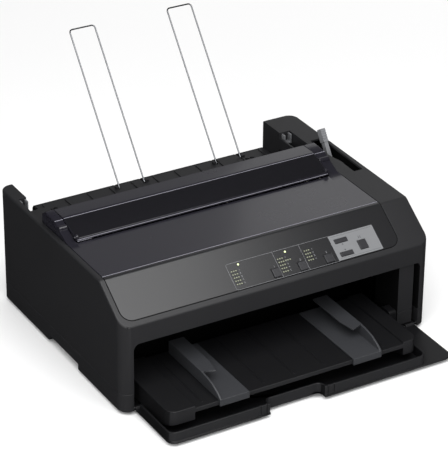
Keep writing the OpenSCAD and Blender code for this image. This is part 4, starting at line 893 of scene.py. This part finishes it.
class PRINTER_OT_panel_print(bpy.types.Operator):
    """Silver label, and the printed lines, figures and arrows round the keys"""

    bl_idname = "printer.panel_print"
    bl_label = "Panel print"

    def execute(self, context):
        x0, x1, s0, s1 = ZONE
        light = ink_line(filleted([(x0, s0, 2.5), (x1, s0, 0), (x1, s1, 0), (x0, s1, 2.5)], steps=4), 0.3, closed=True)
        for x in ZONE_LINES:
            light += ink_line([(x, s0), (x, s1)], 0.3)
        for x, s, _, rows in LAMP_BLOCKS[:3]:
            for j, row_s in enumerate(spaced(s, rows, LAMP_PITCH[1])):
                light += figure(str(rows - j), x + 6.2, row_s - 0.95, 1.9, 0.3)
        for number, (x, s, w, h) in enumerate(SQUARE_KEYS, 1):
            light += figure(str(number), x - 0.5, s + h / 2 + 1.6, 2.2, 0.35)
        shade(gather("Light", light), "PanelPrint", "printed_ink", "root", slot="panel_dark")
        windows = [slope_mesh(rectangle(x - w, x + w, s - 1.7, s + 1.7), -0.1, 0.03) for x, s, w in lamp_rows()]
        shade(gather("Windows", windows), "LampWindows", "printed_black_ink", "root", slot="panel_dark")
        x0, x1, s0, s1 = LABEL
        label = slope_prism(filleted([(x0, s0, 0.8), (x1, s0, 0.8), (x1, s1, 0.8), (x0, s1, 0.8)], steps=3), -0.3, 0.05)
        combine(label, key_windows(LABEL_KEYS, -3, 3), "DIFFERENCE")
        shade(label, "SilverLabel", "printed_silver_film", "root", "panel_label", slot="label_silver")
        upper, lower, pause = LABEL_KEYS
        dark = [triangle(upper[0], upper[1] - 5, 1.3, True), triangle(lower[0], lower[1] + 5, 1.3, False)]
        for offset in (-1.1, 1.1):
            dark += ink_line([(pause[0] + offset, pause[1] + 8.5), (pause[0] + offset, pause[1] + 11.5)], 0.8)
        for s in (s1 - 2, s0 + 2):
            dark += ink_line([(x0 + 3, s), (x1 - 3, s)], 0.3)
        shade(gather("Dark", dark), "LabelPrint", "printed_dark_ink", "root", slot="label_silver")
        return {"FINISHED"}


# ---- covers, tray and guides


# faces that look forward keep the case's own tone, lit by the front light, beside the tray's painted shade
def looks_forward(polygon):
    return polygon.normal.y < -0.6


def is_large_slope(polygon):
    return polygon.normal.y < -0.2 and polygon.normal.z > 0.6 and polygon.area > 500 * MM * MM


class PRINTER_OT_front_cover(bpy.types.Operator):
    """Front cover lying open, with its rim, finger notch and hinge knuckles bored for their pins"""

    bl_idname = "printer.front_cover"
    bl_label = "Front cover"

    def execute(self, context):
        shape = context.scene.printer_shape
        back, rim_back, notch_y = DOOR_HINGE_Y - 1, DOOR_HINGE_Y - 12.5, DOOR_TIP + NOTCH_DEPTH
        top, rim_top = UNDER + DOOR_PLATE, UNDER + DOOR_RIM

        def with_notch(left, right, front, grow, end, corner):
            return filleted([
                (left, end, 0), (left, front, corner), (NOTCH_L - grow, front, 1 + grow),
                (NOTCH_L - grow, notch_y + grow, 6 + grow), (NOTCH_R + grow, notch_y + grow, 6 + grow),
                (NOTCH_R + grow, front, 1 + grow), (right, front, corner), (right, end, 0),
            ])

        door = prism(with_notch(DOOR_L, DOOR_R, DOOR_TIP, 0, back, 10), UNDER, top)
        wall = prism(with_notch(DOOR_L, RIM_R, DOOR_TIP + 1.5, 0, rim_back, 10), UNDER, rim_top)
        knuckles = [rod(DOOR_HINGE_Y, top, DOOR_PLATE, x, x + 12) for x in (DOOR_L, DOOR_R - 12)]
        combine(door, [wall, *knuckles], "UNION")
        inner = with_notch(DOOR_L + DOOR_WALL, RIM_R - DOOR_WALL, DOOR_TIP + 4, DOOR_WALL, rim_back + 1, 7.5)
        hollow = prism(inner, top, rim_top + 1)
        gaps = [block(x - 0.8, x + 0.8, DOOR_TIP - 1, DOOR_TIP + 2.7, top, rim_top + 1)
                for x in (NOTCH_L - 12.5, NOTCH_L - 4.6, NOTCH_R + 4.6, NOTCH_R + 12.5)]
        bores = [rod(DOOR_HINGE_Y, top, 1.8, low, high)
                 for low, high in ((DOOR_L - 1, DOOR_L + 10.5), (DOOR_R - 10.5, DOOR_R + 1))]
        combine(door, [hollow, *gaps, *bores], "DIFFERENCE")
        round_edges(door, 0.7 * shape.soft_edge, 3)
        shade(door, "FrontCover", "moulded_abs_tray", "front_cover", "front_cover", slot="tray_dark")
        # painted light and shade: faces that look forward get the case's tone, the other faces keep the darker painted
        # shade
        second_finish(door, "moulded_abs_case", looks_forward)
        return {"FINISHED"}


class PRINTER_OT_sheet_tray(bpy.types.Operator):
    """Sheet tray with two end blocks and a ribbed bed"""

    bl_idname = "printer.sheet_tray"
    bl_label = "Sheet tray"

    def execute(self, context):
        shape = context.scene.printer_shape
        tray = moulded("sheet_tray", "moulded_abs_tray", "sheet_tray", 0.7 * shape.soft_edge, slot="tray_dark")
        # painted light and shade: faces that look forward get the case's tone, the other faces keep the darker painted
        # shade
        second_finish(tray, "moulded_abs_case", looks_forward)
        return {"FINISHED"}


class PRINTER_OT_edge_guides(bpy.types.Operator):
    """Left and right edge guides with curved fins"""

    bl_idname = "printer.edge_guides"
    bl_label = "Edge guides"

    def execute(self, context):
        for side in ("left", "right"):
            moulded(f"edge_guide_{side}", "satin_abs_guide", f"edge_guide_{side}", 0.6 * MM, slot="guide_grey")
        return {"FINISHED"}


def edge_lines(name, body, lines):
    """Thin bright bars of painted highlight along the edges of the smoked sheet."""
    highlight_bars = gather("Edges", [rod_mesh(y, z, 0.32, low, high, steps=12) for (low, high), y, z in lines])
    shade(highlight_bars, name, "polished_polycarbonate_edge", body, slot="cover_smoke")


class PRINTER_OT_top_covers(bpy.types.Operator):
    """Smoked printer cover and the exit flap on its ridge"""

    bl_idname = "printer.top_covers"
    bl_label = "Top covers"

    def execute(self, context):
        moulded("printer_cover", "smoked_polycarbonate", "printer_cover", 0.7 * MM, slot="cover_smoke")
        flap = moulded("exit_flap", "smoked_polycarbonate", "exit_flap", 0.4 * MM, 2, slot="cover_smoke")
        second_finish(flap, "speckled_polycarbonate", is_large_slope)
        arms = ((BAY_L + 0.8, FLAP_L - 0.8), (FLAP_R + 0.8, BAY_R - 0.8))
        knuckles = gather("Knuckles", [rod_mesh(-8.5, DECK + 8.8, 3.6, low, high) for low, high in arms])
        round_edges(knuckles, 0.7 * MM, 3, sharpest=50)
        shade(knuckles, "FlapKnuckles", "smoked_polycarbonate", "printer_cover", slot="cover_smoke")
        flap_front, plate_front = FLAP_F - 0.6, COVER_F + 0.75
        # painted highlights along the ridge, the flap's front edges and the cover's front edge
        edge_lines("FlapHighlights", "exit_flap", [
            ((FLAP_L + 0.5, FLAP_R - 0.5), RIDGE_F - 1.6, RIDGE_Z - 0.55),
            ((FLAP_L + 1, FLAP_R - 1), flap_front, DECK + 3.0), ((FLAP_L + 1, FLAP_L + 19), flap_front, DECK + 1.3)])
        edge_lines("CoverHighlights", "printer_cover", [
            *((arm, RIDGE_F - 1.6, RIDGE_Z - 1.3) for arm in arms), *((arm, FLAP_F - 1.95, DECK + 0.3) for arm in arms),
            ((BAY_L + 1, BAY_R - 1), plate_front, DECK - 0.25)])
        return {"FINISHED"}


class PRINTER_OT_rear_guide(bpy.types.Operator):
    """Ribbed rear sheet guide and its two wire supports"""

    bl_idname = "printer.rear_guide"
    bl_label = "Rear guide and wires"

    def execute(self, context):
        moulded("rear_guide", "moulded_abs_case", "rear_guide", 0, slot="rear_dark")
        for side in ("left", "right"):
            dress(f"support_wire_{side}", "bright_nickel_wire")
        return {"FINISHED"}


class PRINTER_OT_levers(bpy.types.Operator):
    """Release lever, guide clips and platen knob"""

    bl_idname = "printer.levers"
    bl_label = "Levers and knob"

    def execute(self, context):
        moulded("release_lever", "satin_abs_lever", "release_lever", 0.35 * MM, 2, slot="lever_grey",
                widths=(0.66, 1, 1))
        moulded("guide_clips", "satin_abs_clip", "root", 0.35 * MM, 2, slot="lever_grey")
        moulded("platen_knob", "moulded_abs_case", "platen", 0.5 * MM, 2, slot="key_dark")
        return {"FINISHED"}


class PRINTER_OT_mechanism(bpy.types.Operator):
    """Finishes of the print mechanism, boards and fittings that keep their frame form"""

    bl_idname = "printer.mechanism"
    bl_label = "Mechanism"

    def execute(self, context):
        for name, nodes in NODE_FINISHES.items():
            for node in nodes:
                dress(node, name)
        return {"FINISHED"}


# ---- studio

PHOTO_SIDE, SENSOR = 450, 36
FOCAL = 2400.2  # in pixels of the photograph
VIEW_TURN, VIEW_DROP, VIEW_ROLL = math.radians(-30.4), math.radians(28.57), math.radians(0.55)
VIEW_PLACE = (-1251, -2177.6, 1476.1)


def camera_matrix():
    back = Vector((math.sin(VIEW_TURN) * math.cos(VIEW_DROP), -math.cos(VIEW_TURN) * math.cos(VIEW_DROP),
                   math.sin(VIEW_DROP)))
    level = Vector((math.cos(VIEW_TURN), math.sin(VIEW_TURN), 0))
    upright = back.cross(level)
    right = level * math.cos(VIEW_ROLL) + upright * math.sin(VIEW_ROLL)
    up = upright * math.cos(VIEW_ROLL) - level * math.sin(VIEW_ROLL)
    matrix = Matrix((right, up, back)).transposed().to_4x4()
    matrix.translation = at(*VIEW_PLACE)
    return matrix


def area_light(name, place, target, size, power):
    light = bpy.data.lights.new(name, "AREA")
    light.shape = "RECTANGLE"
    light.size, light.size_y = size
    light.energy = power
    lamp = new_object(name, light)
    lamp.location = place
    lamp.rotation_euler = (Vector(place) - Vector(target)).to_track_quat("Z", "Y").to_euler()


class PRINTER_OT_studio(bpy.types.Operator):
    """Pale floor, soft studio lights and the camera"""

    bl_idname = "printer.studio"
    bl_label = "Studio"

    def execute(self, context):
        studio = context.scene.printer_studio
        scene = context.scene
        camera = bpy.data.cameras.new("Camera")
        camera.sensor_width = SENSOR
        camera.lens = FOCAL / PHOTO_SIDE * SENSOR
        camera.clip_end = 100
        view = new_object("Camera", camera)
        view.matrix_world = camera_matrix()
        scene.camera = view
        bm = bmesh.new()
        bmesh.ops.create_grid(bm, x_segments=1, y_segments=1, size=20000)
        floor = new_piece("Floor", bm)
        material, tree, surface, space = new_material("pale_paper_sweep")
        mottle = add_node(tree, "ShaderNodeTexNoise", {"Vector": space, "Scale": per_mm(400)}).outputs["Fac"]
        tone = add_node(tree, "ShaderNodeMapRange", {"Value": mottle, "To Min": 0.93, "To Max": 0.95}).outputs["Result"]
        feed(tree, surface, {"Base Color": tone, "Roughness": 0.9, "Specular IOR Level": 0.1})
        floor.data.materials.append(material)
        floor.visible_glossy = False
        area_light("PanelLight", (-0.26, -0.5, 0.8), (-0.26, -0.5, 0), (1.1, 0.8), studio.key)
        area_light("BackLight", (1.32, 1.16, 0.95), (0.2, -0.09, 0.1), (1.0, 0.8), studio.side)
        area_light("LowBackLight", (0.96, 1.48, 0.95), (-0.16, 0.23, 0.1), (1.3, 0.8), 0.7 * studio.side)
        area_light("FrontLight", (-0.5, -1.3, 0.5), (0, -0.1, 0.1), (0.5, 0.5), studio.front)
        world = bpy.data.worlds.new("Surround")
        world.use_nodes = True
        sky = world.node_tree.nodes["Background"]
        sky.inputs["Color"].default_value = (1, 1, 1, 1)
        sky.inputs["Strength"].default_value = studio.sky
        scene.world = world
        world.cycles_visibility.glossy = False
        scene.view_settings.view_transform = "Standard"
        return {"FINISHED"}


# ---- add-on

OPERATORS = (
    PRINTER_OT_studio, PRINTER_OT_upper_case, PRINTER_OT_lower_case, PRINTER_OT_control_panel, PRINTER_OT_keys,
    PRINTER_OT_lamps, PRINTER_OT_panel_print, PRINTER_OT_front_cover, PRINTER_OT_sheet_tray, PRINTER_OT_edge_guides,
    PRINTER_OT_top_covers, PRINTER_OT_rear_guide, PRINTER_OT_levers, PRINTER_OT_mechanism,
)
GROUPS = (("printer_shape", PrinterShape), ("printer_finish", PrinterFinish), ("printer_studio", PrinterStudio))


class PRINTER_PT_panel(bpy.types.Panel):
    """Settings of the printer and one button for each of its pieces"""

    bl_idname = "PRINTER_PT_panel"
    bl_label = "Dot Matrix Printer"
    bl_space_type = "VIEW_3D"
    bl_region_type = "UI"
    bl_category = "Printer"

    def draw(self, context):
        for name, group in GROUPS:
            box = self.layout.box()
            for setting in group.__annotations__:
                box.prop(getattr(context.scene, name), setting)
        for operator in OPERATORS:
            self.layout.operator(operator.bl_idname)


def register():
    for name, group in GROUPS:
        bpy.utils.register_class(group)
        setattr(bpy.types.Scene, name, PointerProperty(type=group))
    for part in (*OPERATORS, PRINTER_PT_panel):
        bpy.utils.register_class(part)


def unregister():
    for part in (PRINTER_PT_panel, *reversed(OPERATORS)):
        bpy.utils.unregister_class(part)
    for name, group in reversed(GROUPS):
        delattr(bpy.types.Scene, name)
        bpy.utils.unregister_class(group)


def main():
    register()
    for operator in OPERATORS:
        family, action = operator.bl_idname.split(".")
        getattr(getattr(bpy.ops, family), action)()
    bpy.context.view_layer.update()


if __name__ == "__main__":
    main()
